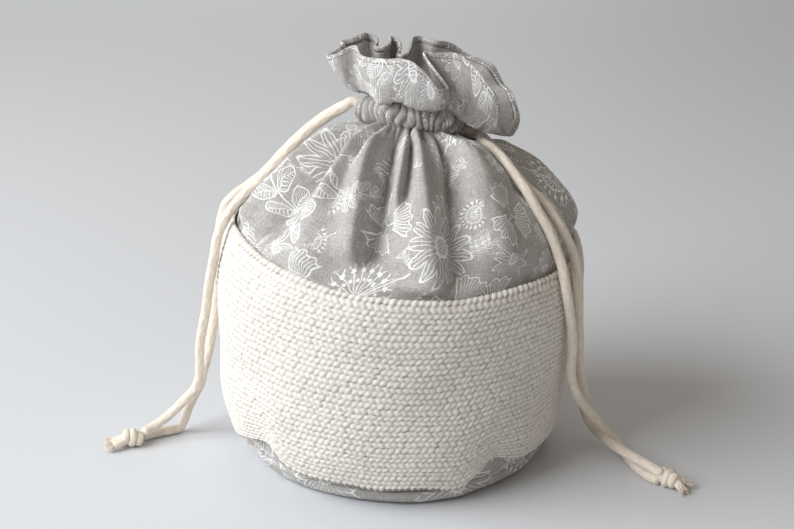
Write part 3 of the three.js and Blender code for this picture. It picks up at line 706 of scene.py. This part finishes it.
def read_rows(rows, t):
    """Points on a smooth surface through rows, at places given in rows."""
    p = np.asarray(rows)
    i = np.clip(np.floor(t).astype(int), 0, len(p) - 2)
    f = (t - i)[:, None, None]
    a, b, c, d = p[np.maximum(i - 1, 0)], p[i], p[i + 1], p[np.minimum(i + 2, len(p) - 1)]
    return 0.5 * (2 * b + (c - a) * f + (2 * a - 5 * b + 4 * c - d) * f ** 2 + (3 * b - a - 3 * c + d) * f ** 3)


def pleat_wave(degrees, seed=5, count=PLEATS):
    """The gathered pleats round the neck: broad ridges and narrow valleys, none alike."""
    rng = np.random.default_rng(seed)
    valleys = (np.arange(count) + rng.uniform(-0.4, 0.4, count)) * 360 / count
    depth = rng.uniform(0.5, 1.15, count)
    valleys = np.concatenate([[valleys[-1] - 360], valleys, [valleys[0] + 360]])
    depth = np.concatenate([[depth[-1]], depth, [depth[0]]])
    turn = np.asarray(degrees, float) % 360
    turn = np.where(turn < valleys[1], turn + 360, turn)
    turn = np.where(turn >= valleys[-1], turn - 360, turn)
    i = np.clip(np.searchsorted(valleys, turn, side="right") - 1, 0, len(valleys) - 2)
    t = np.clip((turn - valleys[i]) / (valleys[i + 1] - valleys[i]), 0, 1)
    return depth[i] * (1.45 * np.sin(math.pi * t) ** 0.6 - 0.95)


def frill_wave(degrees):
    """Waves of the ruffle's hem, larger at the back."""
    back = smooth_share((np.sin(np.radians(degrees)) + 0.1) / 0.5)
    turn = np.radians(degrees)
    wave = np.sin(14 * turn + 1.3 * np.sin(3 * turn)) + 0.22 * np.sin(25 * turn + 2)
    return (0.35 + 2.6 * back) * wave


def smooth_share(x):
    """A share that starts and ends softly, 0 below 0 and 1 above 1."""
    x = np.clip(x, 0, 1)
    return x * x * (3 - 2 * x)


def fold_height(degrees, share):
    """How far the shoulder's folds stand out; share is 0 at the rim and 1 at the neck."""
    total = np.zeros(np.broadcast(degrees, share).shape)
    for before, after, height, places in FOLDS:
        shares, angles = zip(*sorted(places))
        at = np.interp(share, shares, angles)
        low = smooth_share((share - shares[0] + 0.12) / 0.14) if shares[0] > 0.03 else 1
        high = smooth_share((shares[-1] + 0.12 - share) / 0.14) if shares[-1] < 0.97 else 1
        turn = turn_from(degrees, at)
        total = total + height * low * high * np.exp(-((turn / np.where(turn < 0, before, after)) ** 2))
    return total


class Canvas:
    """The canvas of one half, as a grid of rows from its lowest edge to the ruffle's hem.

    Places up the cloth are counted in control rows. The rim, the neck below the casing and the pinch above it
    are three of these rows.
    """

    rim, neck, pinch = 5, 11, 15

    def __init__(self, start):
        turn = 180 / (CANVAS_COLUMNS - 1)
        degrees = start + turn * np.arange(-1, CANVAS_COLUMNS + 1)
        rows = [
            *body_rows(degrees, SEAM_HEIGHT + seam_rise(degrees)), *shoulder_rows(degrees),
            *casing_rows(degrees, CASING_OUTLINE), *ruffle_rows(degrees),
        ]
        spans = np.linalg.norm(np.diff(np.asarray(rows), axis=0), axis=2).mean(1)
        t = self.places(spans)
        base = read_rows(rows, t)
        climb = np.concatenate([[0], np.cumsum(spans[self.rim:self.neck])])
        share = np.interp(t, np.arange(self.rim, self.neck + 1), climb / climb[-1])[:, None]
        relief = self.pleats(t, degrees) + self.frill(t, degrees)
        relief = relief + self.folds(t[:, None], share, degrees) + self.ripples(t[:, None], share, degrees)
        points = base + self.normals(base) * relief[..., None]
        self.normal = self.normals(points)[:, 1:-1]
        self.points, self.degrees, self.t = points[:, 1:-1], degrees[1:-1], t
        for column in (0, -1):
            self.points[t <= self.pinch + 1, column, 1] = SEAM_GAP * seam_side(start)
        gaps = np.linalg.norm(np.diff(base, axis=0), axis=2).mean(1)
        self.length = np.concatenate([[0], np.cumsum(gaps)])
        around_cloth = np.radians(self.degrees)[None] * CLOTH_RADIUS
        self.uvs = np.stack(np.broadcast_arrays(around_cloth, self.length[:, None]), -1)

    def places(self, spans):
        """The places of the grid's rows: wide apart behind the band, and closest on the casing and ruffle."""
        t = []
        for i, span in enumerate(spans):
            step = HIDDEN_STEP if i < 4 else CANVAS_STEP if i < self.neck else CANVAS_STEP * 0.72
            count = max(int(round(span / step)), 1)
            t.extend(i + np.arange(count) / count)
        return np.array([*t, len(spans)])

    def pleats(self, t, degrees):
        """Broad pleats below the casing and narrow ones on it, which lean and sway."""
        neck, pinch, last = self.neck, self.pinch, t[-1]
        broad = np.interp(t, [0, neck - 2.2, neck - 0.6, neck, neck + 1.2], [0, 0, 0.75, 0.9, 0])[:, None]
        narrow = np.interp(t, [neck - 0.8, neck + 0.8, neck + 2, pinch, pinch + 1.2, pinch + 2.4, last],
                           [0, 0.85, 0.7, 0.95, 0.36, 0.08, 0.04])[:, None]
        twist = np.interp(t, [neck - 2, neck, pinch, last], [3, 0, -7, -11])
        sway = 3 * np.sin(np.radians(degrees * 6)[None] + 1.3 * (t - neck)[:, None])
        turned = degrees[None] + twist[:, None] + sway
        return PLEAT_DEPTH * (broad * pleat_wave(turned) + narrow * pleat_wave(turned, 8, CASING_PLEATS))

    def frill(self, t, degrees):
        """The waves of the ruffle, which grow towards its hem."""
        return np.interp(t, [self.pinch + 1, t[-1]], [0, 1])[:, None] ** 1.5 * frill_wave(degrees)[None]

    def folds(self, t, share, degrees):
        """The shoulder's folds, which fade towards the neck. Those that stand out also fade at the rim."""
        folds = fold_height(degrees[None], share)
        near = 1 - 0.75 * smooth_share((share - 0.72) / 0.28)
        folds = np.where(t <= self.neck + 0.5, folds * near, 0) * smooth_share((t - (self.rim - 1.2)) / 1.2)
        return np.where(folds > 0, folds * smooth_share(share / 0.06), folds)

    def ripples(self, t, share, degrees):
        """Small ripples of the shoulder between its folds."""
        ripples = 0.5 * np.sin(np.radians(degrees * 23 + 30))[None] * np.sin(share * 9)
        return ripples * smooth_share(share * 3) * (t < self.neck)

    @staticmethod
    def normals(grid):
        """The direction outwards at each point of a grid."""
        normal = np.cross(np.gradient(grid, axis=1), np.gradient(grid, axis=0))
        return normal / np.maximum(np.linalg.norm(normal, axis=2), 1e-9)[..., None]

    def offset(self, out, first=0, last=math.inf, every=1, thin=1):
        """The grid between two places in rows, moved along its normals."""
        keep = np.flatnonzero((self.t >= first - 1e-6) & (self.t <= last + 1e-6))
        keep = np.unique(np.concatenate([keep[::every], keep[-1:]]))
        columns = np.unique(np.concatenate([np.arange(0, len(self.degrees), thin), [len(self.degrees) - 1]]))
        moved = self.points + self.normal * out
        seam = np.ix_(self.t <= self.pinch + 1, [0, -1], [1])
        moved[seam] = self.points[seam]
        return moved[np.ix_(keep, columns)], self.uvs[np.ix_(keep, columns)]


def shell(outer, outer_uvs, inner, inner_uvs):
    """A closed solid between two grids with the same columns; the first rows join, and the last ones."""
    columns = outer.shape[1]
    points = np.concatenate([outer.reshape(-1, 3), inner[::-1].reshape(-1, 3)])
    uvs = np.concatenate([outer_uvs.reshape(-1, 2), inner_uvs[::-1].reshape(-1, 2)])
    rows = len(outer) + len(inner)
    faces = loop_faces(rows, columns)
    a, b = len(outer), len(inner)
    for column, turn in ((0, 1), (columns - 1, -1)):
        for i in range(b - 1):
            low, high = i * (a - 1) // (b - 1), (i + 1) * (a - 1) // (b - 1)
            edge = [r * columns + column for r in range(low, high + 1)]
            back = [(rows - 1 - r) * columns + column for r in (i + 1, i)]
            faces.append([*edge, *back][::-turn])
    return points * MM, faces, uvs * MM


def canvas_half(name, node, start, material):
    """Half of the printed canvas, with its hem rolled to the inside."""
    cloth = Canvas(start)
    outer, outer_uvs = cloth.offset(HALF_CANVAS)
    normal = cloth.normal[-1]
    ahead = cloth.points[-1] - cloth.points[-3]
    ahead /= np.linalg.norm(ahead, axis=1)[:, None]
    roll = [cloth.points[-1] + ahead * along - normal * (back - HALF_CANVAS) for along, back in HEM_ROLL]
    roll_uvs = [cloth.uvs[-1] + [0, 0.8 * (i + 1)] for i in range(len(roll))]
    outer = np.concatenate([outer, roll])
    outer_uvs = np.concatenate([outer_uvs, roll_uvs])
    inner, inner_uvs = cloth.offset(-HALF_CANVAS, every=4)
    piece = add_mesh(name, *shell(outer, outer_uvs, inner, inner_uvs), material)
    return dress(piece, node), cloth


def facing_half(name, node, start, cloth, material):
    """The cloth inside the ruffle, down through the casing to its seam below."""
    degrees = cloth.degrees
    (top, top_uvs), (under, _) = (cloth.offset(out, first=cloth.pinch + 0.6) for out in FACING_FACES)
    keep = cloth.length[-len(top):] < cloth.length[-1] - FACING_HEM
    top, top_uvs, under = top[keep], top_uvs[keep], under[keep]
    out = ring_row(degrees, 1, 0, 0)
    wave, tight = pleat_wave(degrees)[:, None] * out, pleat_wave(degrees, 9, 64)[:, None] * out
    waves = [1.4 * wave, 0.5 * wave + 2 * tight, *[2.7 * tight] * 3, 0.6 * wave + 1.9 * tight]
    grids = []
    for inward, upper in ((0, top), (CASING_CLOTH, under)):
        shape = [(radius - inward, rise) for radius, rise in CASING_INSIDE]
        rows = [row + w for row, w in zip(casing_rows(degrees, shape), waves)]
        grid = read_rows([*rows, upper[0], upper[1]], np.linspace(0, 6, FACING_ROWS + 1)[:-1])
        grid = np.concatenate([grid, upper])
        grid[:FACING_ROWS - 3, [0, -1], 1] = SEAM_GAP * seam_side(start)
        grids.append(grid)
    lengths = np.linspace(-FACING_DROP, -1, FACING_ROWS)[:, None] + top_uvs[0, 0, 1]
    uvs = np.stack(np.broadcast_arrays(np.radians(degrees)[None] * CLOTH_RADIUS, lengths), -1)
    uvs = np.concatenate([uvs, top_uvs])
    piece = add_mesh(name, *shell(grids[0], uvs, grids[1], uvs), material)
    return dress(piece, node)


def lining_half(name, node, cloth, material):
    """Half of the lining, from under the base's lining up to the neck."""
    grids = []
    for out in LINING_FACES:
        grid, uvs = cloth.offset(out, last=cloth.neck - 0.25, thin=4, every=3)
        foot = grid[0] * [LINING_SHARE, LINING_SHARE, 0] + [0, 0, BASE_LINING_OUTLINE[-1][1] - 0.1]
        grids.append(np.concatenate([[foot], grid]))
    uvs = np.concatenate([[uvs[0] - [0, LINING_TURN]], uvs])
    piece = add_mesh(name, *shell(grids[0], uvs, grids[1], uvs), material)
    return dress(piece, node)


def level(degrees, height):
    """No change to a round solid's outline."""
    return 0 * height


def round_mesh(name, outline, material, segments=96, wrinkle=level, rise=level):
    """A round solid from an outline of radius and height, which leans with the wall."""
    outline = np.asarray(outline, float)
    turn = np.linspace(0, 2 * math.pi, segments, endpoint=False)
    radius, height = outline[:, 0][:, None], outline[:, 1][:, None] + 0 * turn
    radius = radius + wrinkle(np.degrees(turn)[None], height)
    height = height + rise(np.degrees(turn)[None], height)
    _, middle = wall(height)
    points = np.stack([middle + radius * np.cos(turn), radius * np.sin(turn), height], -1).reshape(-1, 3)
    along = distances(outline)
    spread = np.minimum(along, along[-1] - along)[:, None]
    uvs = np.stack([spread * np.cos(turn), spread * np.sin(turn)], -1).reshape(-1, 2)
    piece = add_mesh(name, points * MM, tube_faces(len(outline), segments), uvs * MM, material)
    return piece, math.pi * (spread.max() * MM) ** 2


def hem_stitching(name, cloth, material):
    """The line of stitches along the ruffle's hem, outside and inside. Their dark colour is partly the thread's
    own and partly painted shadow along the stitched line.
    """
    row = int(np.argmin(np.abs(cloth.length - (cloth.length[-1] - HEM_LINE))))
    parts = []
    for out in (0.34, -1.2):
        line = cloth.points[row] + cloth.normal[row] * out
        along = distances(line)
        for start in np.arange(0.6, along[-1] - 2, HEM_SPACING):
            at = np.linspace(start, start + HEM_STITCH, len(HEM_THREAD))
            path = np.stack([np.interp(at, along, line[:, k]) for k in range(3)], 1)
            parts.append(thin_tube(path * MM, HEM_THREAD * MM, 6))
    piece = add_mesh(name, *joined(parts), material)
    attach(piece, "bag")
    return piece


def base_wrinkle(degrees, height):
    """How far the base stands out from its round outline: small puckers, and drawn in below the band."""
    up = smooth_share((height - 1.5) / 5)
    puckers = 0.35 * np.sin(np.radians(degrees * 19)) + 0.3 * np.sin(np.radians(degrees * 31 + 50))
    return up * puckers - by_angle(BASE_DRAWN_IN, degrees) * (1 - smooth_share((height - 5) / 7))


def base_rise(degrees, height):
    """How far the base's upturned edge lifts with the seam."""
    return seam_rise(degrees) * smooth_share((height - 8) / 10)


def add_bottom(canvas, lining, wadding):
    """The base with its upturned edge, the wadding on it and the lining over that."""
    edge = BAND_BOTTOM - 0.3
    behind = [(wall(h)[0] - CANVAS_INSET + 0.1, h) for h in (edge, 14, 19.6)]
    outline, _ = smooth_line([*BASE_OUTLINE, *behind], 0.9)
    inside = [(r - 1, max(h, 1)) for r, h in outline[::-1]]
    base, cut = round_mesh("base_with_upturned_edge", [*outline, *inside], canvas, 320, base_wrinkle, base_rise)
    dress(base, "base_panel")
    pad, _ = round_mesh("wadding_disc", smooth_line(WADDING_OUTLINE, 1.5)[0], wadding)
    dress(pad, "base_wadding")
    flat, cut = round_mesh("base_lining", BASE_LINING_OUTLINE, lining)
    dress(flat, "lining_base")


class Value:
    """What a shader node gives. Arithmetic with it adds the nodes that work it out."""

    def __init__(self, nodes, socket):
        self.nodes, self.socket = nodes, socket

    def __add__(self, other):
        return self.nodes.math("ADD", self, other)

    def __sub__(self, other):
        return self.nodes.math("SUBTRACT", self, other)

    def __mul__(self, other):
        return self.nodes.math("MULTIPLY", self, other)

    def __truediv__(self, other):
        return self.nodes.math("DIVIDE", self, other)

    def __abs__(self):
        return self.nodes.math("ABSOLUTE", self)


class Nodes:
    """Short ways to write a tree of shader nodes. What goes into a node may be values or numbers."""

    def __init__(self, tree):
        self.tree = tree

    def node(self, kind, inputs=(), **settings):
        """A new node, with inputs by name or by place."""
        node = self.tree.nodes.new("ShaderNode" + kind)
        for key, setting in settings.items():
            setattr(node, key, setting)
        for key, value in dict(inputs).items():
            self.join(node.inputs[key], value)
        return node

    def add(self, kind, inputs=(), output=0, **settings):
        """What a new node gives."""
        return Value(self, self.node(kind, inputs, **settings).outputs[output])

    def join(self, socket, value):
        """Links a value to a socket, or sets a number or a colour there."""
        if isinstance(value, Value):
            self.tree.links.new(value.socket, socket)
        else:
            socket.default_value = value

    def math(self, operation, *values):
        return self.add("Math", enumerate(values), operation=operation)

    def vector(self, operation, *values):
        return self.add("VectorMath", enumerate(values), operation=operation)

    def scaled(self, vector, scale):
        return self.add("VectorMath", {0: vector, "Scale": scale}, operation="SCALE")

    def split(self, vector):
        """The three numbers of a vector."""
        return [Value(self, socket) for socket in self.node("SeparateXYZ", {0: vector}).outputs]

    def below(self, value, limit, soft=0.12):
        """One where the value lies below a limit, with a soft edge."""
        inputs = {"Value": self.math("SUBTRACT", value, limit), "From Min": -soft, "From Max": soft}
        return self.add("MapRange", {**inputs, "To Min": 1, "To Max": 0}, interpolation_type="SMOOTHSTEP")

    def line(self, distance, width, soft=0.12):
        """One on a line of a width, along which the distance is zero."""
        return self.below(abs(distance), width * LINE_WEIGHT, soft)

    def either(self, first, *others):
        """The largest of several values."""
        for other in others:
            first = self.math("MAXIMUM", first, other)
        return first

    def repeat(self, value, length):
        """A value that runs from minus half the length to half of it, again and again."""
        return self.math("FLOORED_MODULO", value + length / 2, length) - length / 2

    def noise(self, vector, scale, detail=2, output=0):
        return self.add("TexNoise", {"Vector": vector, "Scale": scale, "Detail": detail}, output)


def new_group(name, given, made):
    """A node group that makes numbers from a vector, with its writer, the vector and its last sockets."""
    group = bpy.data.node_groups.new(name, "ShaderNodeTree")
    group.interface.new_socket(given, in_out="INPUT", socket_type="NodeSocketVector")
    for label in made:
        group.interface.new_socket(label, in_out="OUTPUT", socket_type="NodeSocketFloat")
    n = Nodes(group)
    vector = Value(n, group.nodes.new("NodeGroupInput").outputs[0])
    return group, n, vector, group.nodes.new("NodeGroupOutput").inputs


def polar(n, x, y):
    """The reach and the turn of a place from the middle of its motif."""
    return n.math("SQRT", x * x + y * y), n.math("ARCTAN2", y, x)


def oval(n, along, across, length, breadth):
    """A value that is one on an oval's edge and less inside it."""
    return polar(n, along / length, across / breadth)[0]


def round_leaved_spray(n, x, y):
    """A bent stem with pairs of round, hatched leaves."""
    x = x + n.math("SINE", y * 0.12) * 2.2
    side = abs(x)
    across = n.repeat(y - side * 0.5, 9.2)
    leaf = oval(n, side - 6.3, across, 5.2, 3.7)
    edge = n.line(leaf - 1, 0.075, 0.03)
    rib = n.line(across, 0.24) * n.below(side, 10.6)
    hatch = n.line(n.repeat(side - abs(across) * 0.9, 1.5), 0.22) * n.below(leaf, 0.86, 0.05)
    return n.either(edge, rib, hatch, n.line(x, 0.4)) * n.below(abs(y), 20)


def seed_head(n, x, y):
    """A round seed head on its stem, with a tuft at the end of each stalk."""
    high = y - 5
    reach, turn = polar(n, x, high)
    across = n.repeat(turn, math.pi / 9) * reach
    tuft = n.below(polar(n, reach - 12.2, across)[0], 1.15)
    hairs = n.line(abs(across) - (reach - 12.2) * 0.5, 0.24) * n.below(12.2, reach) * n.below(reach, 15.6)
    stalks = n.line(across, 0.26) * n.below(1.6, reach) * n.below(reach, 12.2)
    inner = n.repeat(turn + math.pi / 18, math.pi / 9) * reach
    dots = n.below(polar(n, reach - 8, inner)[0], 0.8)
    stem = n.line(x, 0.4) * n.below(high, 0) * n.below(-21, y)
    return n.either(tuft, hairs, stalks, dots, stem)


def grain_ear(n, x, y):
    """An ear of grain with long awns, on a bent stalk."""
    x = x + y * y * 0.011
    side = abs(x)
    across = n.repeat(y - side * 1.3, 4.4)
    grain = oval(n, side - 2.5, across, 2.1, 1.7)
    body = n.either(n.line(grain - 1, 0.17, 0.08), n.line(across, 0.3) * n.below(grain, 0.7))
    body = body * n.below(-6, y) * n.below(y, 16)
    awns = n.line(n.repeat(y - side * 2.4, 4.4), 0.5) * n.below(side, 8.5) * n.below(3.6, side)
    awns = awns * n.below(-2, y) * n.below(y, 22)
    stem = n.line(x, 0.42) * n.below(-22, y) * n.below(y, 16)
    return n.either(body, awns, stem)


def daisy(n, x, y):
    """A wide open daisy with a dotted middle."""
    reach, turn = polar(n, x, y)
    across = abs(n.repeat(turn, math.pi / 6.5) * reach)
    petal = oval(n, reach - 12, across, 7.6, 2.75)
    edge = n.line(petal - 1, 0.1, 0.05)
    ribs = n.line(across - 0.85, 0.2) * n.below(petal, 0.84, 0.05)
    dots = n.math("SINE", x * 3.4) * n.math("SINE", y * 3.4)
    middle = n.below(0.1, dots, 0.2) * n.below(reach, 3.4)
    return n.either(edge, ribs, middle, n.line(reach - 4, 0.32))


def fan_leaves(n, x, y):
    """Three fan-shaped leaves, ribbed from stalk to edge."""
    reach, turn = polar(n, x, y)
    part = n.repeat(turn, 2 * math.pi / 3)
    wide = abs(part)
    rim = n.math("COSINE", part * 17) * 0.8 + 15.2
    edge = n.line(reach - rim, 0.34) * n.below(wide, 0.68, 0.01)
    sides = n.line((wide - 0.68) * reach, 0.32)
    ribs = n.line(n.repeat(part, 0.13) * reach, 0.2) * n.below(wide, 0.66, 0.01)
    blade = n.either(sides, ribs) * n.below(5, reach) * n.below(reach, 15)
    stalk = n.line(part * reach, 0.36) * n.below(reach, 6)
    return n.either(edge, blade, stalk)


def scatter(n, place, size, shift, motifs, seed, shrink):
    """Motifs strewn over the cloth, each in a cell of its own, turned any way and of one kind."""
    moved = n.vector("ADD", place, shift)
    inputs = {"Scale": 1 / size, "Randomness": 0.62, "Vector": moved}
    cell = n.node("TexVoronoi", inputs, voronoi_dimensions="2D")
    colour, middle = (Value(n, cell.outputs[key]) for key in ("Color", "Position"))
    red, green, blue = n.split(colour)
    inputs = {"Vector": n.vector("SUBTRACT", moved, middle), "Angle": red * 6.28}
    turned = n.add("VectorRotate", inputs, rotation_type="Z_AXIS")
    x, y, _ = n.split(n.scaled(turned, (blue * 0.3 + 0.86) * shrink))
    ink = 0
    step = 1 / len(motifs)
    kind = n.math("FRACT", green + seed)
    for i, motif in enumerate(motifs):
        chosen = n.below(kind, (i + 1) * step, 0.0005) * n.below(i * step, kind, 0.0005)
        ink = n.math("MULTIPLY_ADD", motif(n, x, y), chosen, ink)
    return n.math("MINIMUM", ink, 1), polar(n, x, y)[0]


def botanical_print():
    """White line drawings of sprays, seed heads, grain, daisies and fans, for cloth measured in metres."""
    group, n, cloth, made = new_group("Botanical print", "Cloth", ["Ink"])
    place = n.scaled(cloth, 1000)
    wobble = n.vector("SUBTRACT", n.noise(place, 0.16, output=1), (0.5, 0.5, 0.5))
    place = n.vector("ADD", place, n.scaled(wobble, 3.2))
    kinds = [daisy, round_leaved_spray, fan_leaves, grain_ear, seed_head]
    large, reach = scatter(n, place, 39, (11, 5, 0), kinds, 0, 0.98)
    kinds = [grain_ear, daisy, seed_head, round_leaved_spray]
    small, _ = scatter(n, place, 21, (3, 41, 0), kinds, 0.35, 1.9)
    ink = n.either(large, small * n.below(18.5, reach, 0.8))
    worn = n.noise(place, 1.9, 3) * 0.8 + 0.5
    n.join(made[0], n.math("MINIMUM", ink * worn, 1))
    return group


def weave():
    """The canvas's threads: how light each place is, and how far it stands out."""
    group, n, cloth, made = new_group("Canvas weave", "Cloth", ["Light", "Height"])
    place = n.scaled(cloth, 1000)
    x, y, _ = n.split(place)
    over = n.math("SINE", (x + y) * (2 * math.pi / 1.05))
    thread_x, thread_y = (n.math("SINE", along * (2 * math.pi / 0.62)) for along in (x, y))
    knots = n.noise(place, 1.6) - 0.5
    height = over * 0.35 + (thread_x + thread_y) * 0.3 + knots * 2.6
    slub_x = n.noise(n.vector("MULTIPLY", place, (0.22, 1.5, 0)), 1, 3)
    slub_y = n.noise(n.vector("MULTIPLY", place, (1.5, 0.22, 0)), 1, 3)
    n.join(made[0], (slub_x + slub_y) * 0.5 + height * 0.17)
    n.join(made[1], height)
    return group


def cotton_fuzz():
    """Uneven cotton: fibres of any direction, as a value round one half."""
    group, n, place, made = new_group("Cotton fuzz", "Place", ["Fuzz"])
    n.join(made[0], n.noise(place, 420, 3) * 0.45 + n.noise(place, 2600, 3) * 0.55)
    return group


def use_group(n, group, vector):
    """What a node group makes from a vector."""
    return [Value(n, socket) for socket in n.node("Group", {0: vector}, node_tree=group).outputs]


def mixed(n, share, first, second):
    """A colour between two others, each a value or a colour."""
    first, second = (c if isinstance(c, Value) else (*c, 1) for c in (first, second))
    return n.add("Mix", {"Factor": share, 6: first, 7: second}, 2, data_type="RGBA")


def stretched(n, value, low, high):
    """A value from a narrow range, spread from zero to one."""
    return n.add("MapRange", {"Value": value, "From Min": low, "From Max": high})


def new_material(name, roughness=0.95, specular=0.5):
    """A material, the writer of its nodes and its shader."""
    material = bpy.data.materials.new(name)
    material.use_nodes = True
    shader = material.node_tree.nodes["Principled BSDF"]
    shader.inputs["Roughness"].default_value = roughness
    shader.inputs["Specular IOR Level"].default_value = specular
    return material, Nodes(material.node_tree), shader


def bumped(n, shader, height, depth, strength):
    """Makes the surface of a material uneven."""
    n.join(shader.inputs["Normal"], n.add("Bump", {"Strength": strength, "Distance": depth, "Height": height}))


def plain_material(name, colour, roughness=0.95):
    """A material of one colour."""
    material, n, shader = new_material(name, roughness)
    n.join(shader.inputs["Base Color"], (*colour, 1))
    return material


def canvas_material(name, weave_group, print_group=None):
    """Woven canvas, plain or printed."""
    material, n, shader = new_material(name, specular=0.2)
    cloth = n.add("UVMap", uv_map="cloth")
    light, height = use_group(n, weave_group, cloth)
    colour = mixed(n, stretched(n, light, 0.3, 0.74), CANVAS_DARK, CANVAS_LIGHT)
    if print_group:
        colour = mixed(n, use_group(n, print_group, cloth)[0], colour, INK)
    n.join(shader.inputs["Base Color"], colour)
    bumped(n, shader, height + light * 2, 0.00012, 0.7)
    return material


def cotton_material(name, dark, light, fuzz_group, hollow_shade=None, depth=0.0003):
    """Fuzzy cotton, which can take painted shade of another colour in its hollows."""
    material, n, shader = new_material(name, specular=0.2)
    fuzz = use_group(n, fuzz_group, n.add("TexCoord", output=3))[0]
    colour = mixed(n, stretched(n, fuzz, 0.32, 0.68), dark, light)
    if hollow_shade:
        # Painted shade: the deeper a place lies in a hollow, the more of the shade colour it takes
        deep = n.add("Attribute", output=2, attribute_name="hollow_shade")
        colour = mixed(n, n.math("POWER", deep, 1.5) * 0.95, colour, hollow_shade)
    n.join(shader.inputs["Base Color"], colour)
    shader.inputs["Sheen Weight"].default_value = 0.15
    bumped(n, shader, fuzz, depth, 0.6)
    return material


def add_floor(material):
    """A pale floor that reaches well behind the bag."""
    corners = [(-4, -2.5, 0), (4, -2.5, 0), (4, 9, 0), (-4, 9, 0)]
    floor = add_mesh("floor", corners, [(0, 1, 2, 3)], [c[:2] for c in corners], material)


def add_lights():
    """A broad soft light on the left, a weak one behind, and dim, warmer light from all round."""
    for name, (place, aim, size, power, colour) in LIGHTS.items():
        data = bpy.data.lights.new(name, "AREA")
        data.shape = "RECTANGLE"
        data.size, data.size_y = size
        data.energy = power
        data.color = colour
        light = bpy.data.objects.new(name, data)
        light.location = place
        light.rotation_euler = (Vector(aim) - Vector(place)).to_track_quat("-Z", "Y").to_euler()
        bpy.context.scene.collection.objects.link(light)
    world = bpy.data.worlds.new("room")
    world.use_nodes = True
    background = world.node_tree.nodes["Background"]
    background.inputs["Color"].default_value = (*LIGHT_ALL_ROUND, 1)
    background.inputs["Strength"].default_value = STRENGTH_ALL_ROUND
    bpy.context.scene.world = world
    bpy.context.scene.view_settings.view_transform = "Standard"


fuzz = cotton_fuzz()
threads = weave()
cream = cotton_material("cord cotton", CORD_DARK, CORD_LIGHT, fuzz, depth=0.0002)
knit = cotton_material("knit cotton", KNIT_DARK, KNIT_LIGHT, fuzz, KNIT_HOLLOW_SHADE, 0.0005)
printed = canvas_material("printed canvas", threads, botanical_print())
plain = canvas_material("plain canvas", threads)
# Thread darkened to paint the shadow along the hem's stitched line as well as its own colour
thread_and_shadow = plain_material("sewing thread and painted shadow", THREAD_AND_SHADOW)
lining_cotton = plain_material("lining cotton", LINING)
wadding = plain_material("wadding", WADDING)
pale = plain_material("floor", FLOOR, 0.6)

add_camera()
add_drawstrings(cream)
for side, start in HALVES.items():
    band = band_half(f"{side}_knitted_half", f"knit_band_{side}", start, knit)
    panel, cloth = canvas_half(f"{side}_canvas_half", f"canvas_{side}_panel", start, printed)
    stitching = hem_stitching(f"{side}_hem_stitching", cloth, thread_and_shadow)
    facing = facing_half(f"{side}_ruffle_facing", f"facing_{side}", start, cloth, plain)
    lined = lining_half(f"{side}_wall_lining", f"lining_{side}", cloth, lining_cotton)
add_bottom(printed, lining_cotton, wadding)
add_floor(pale)
add_lights()
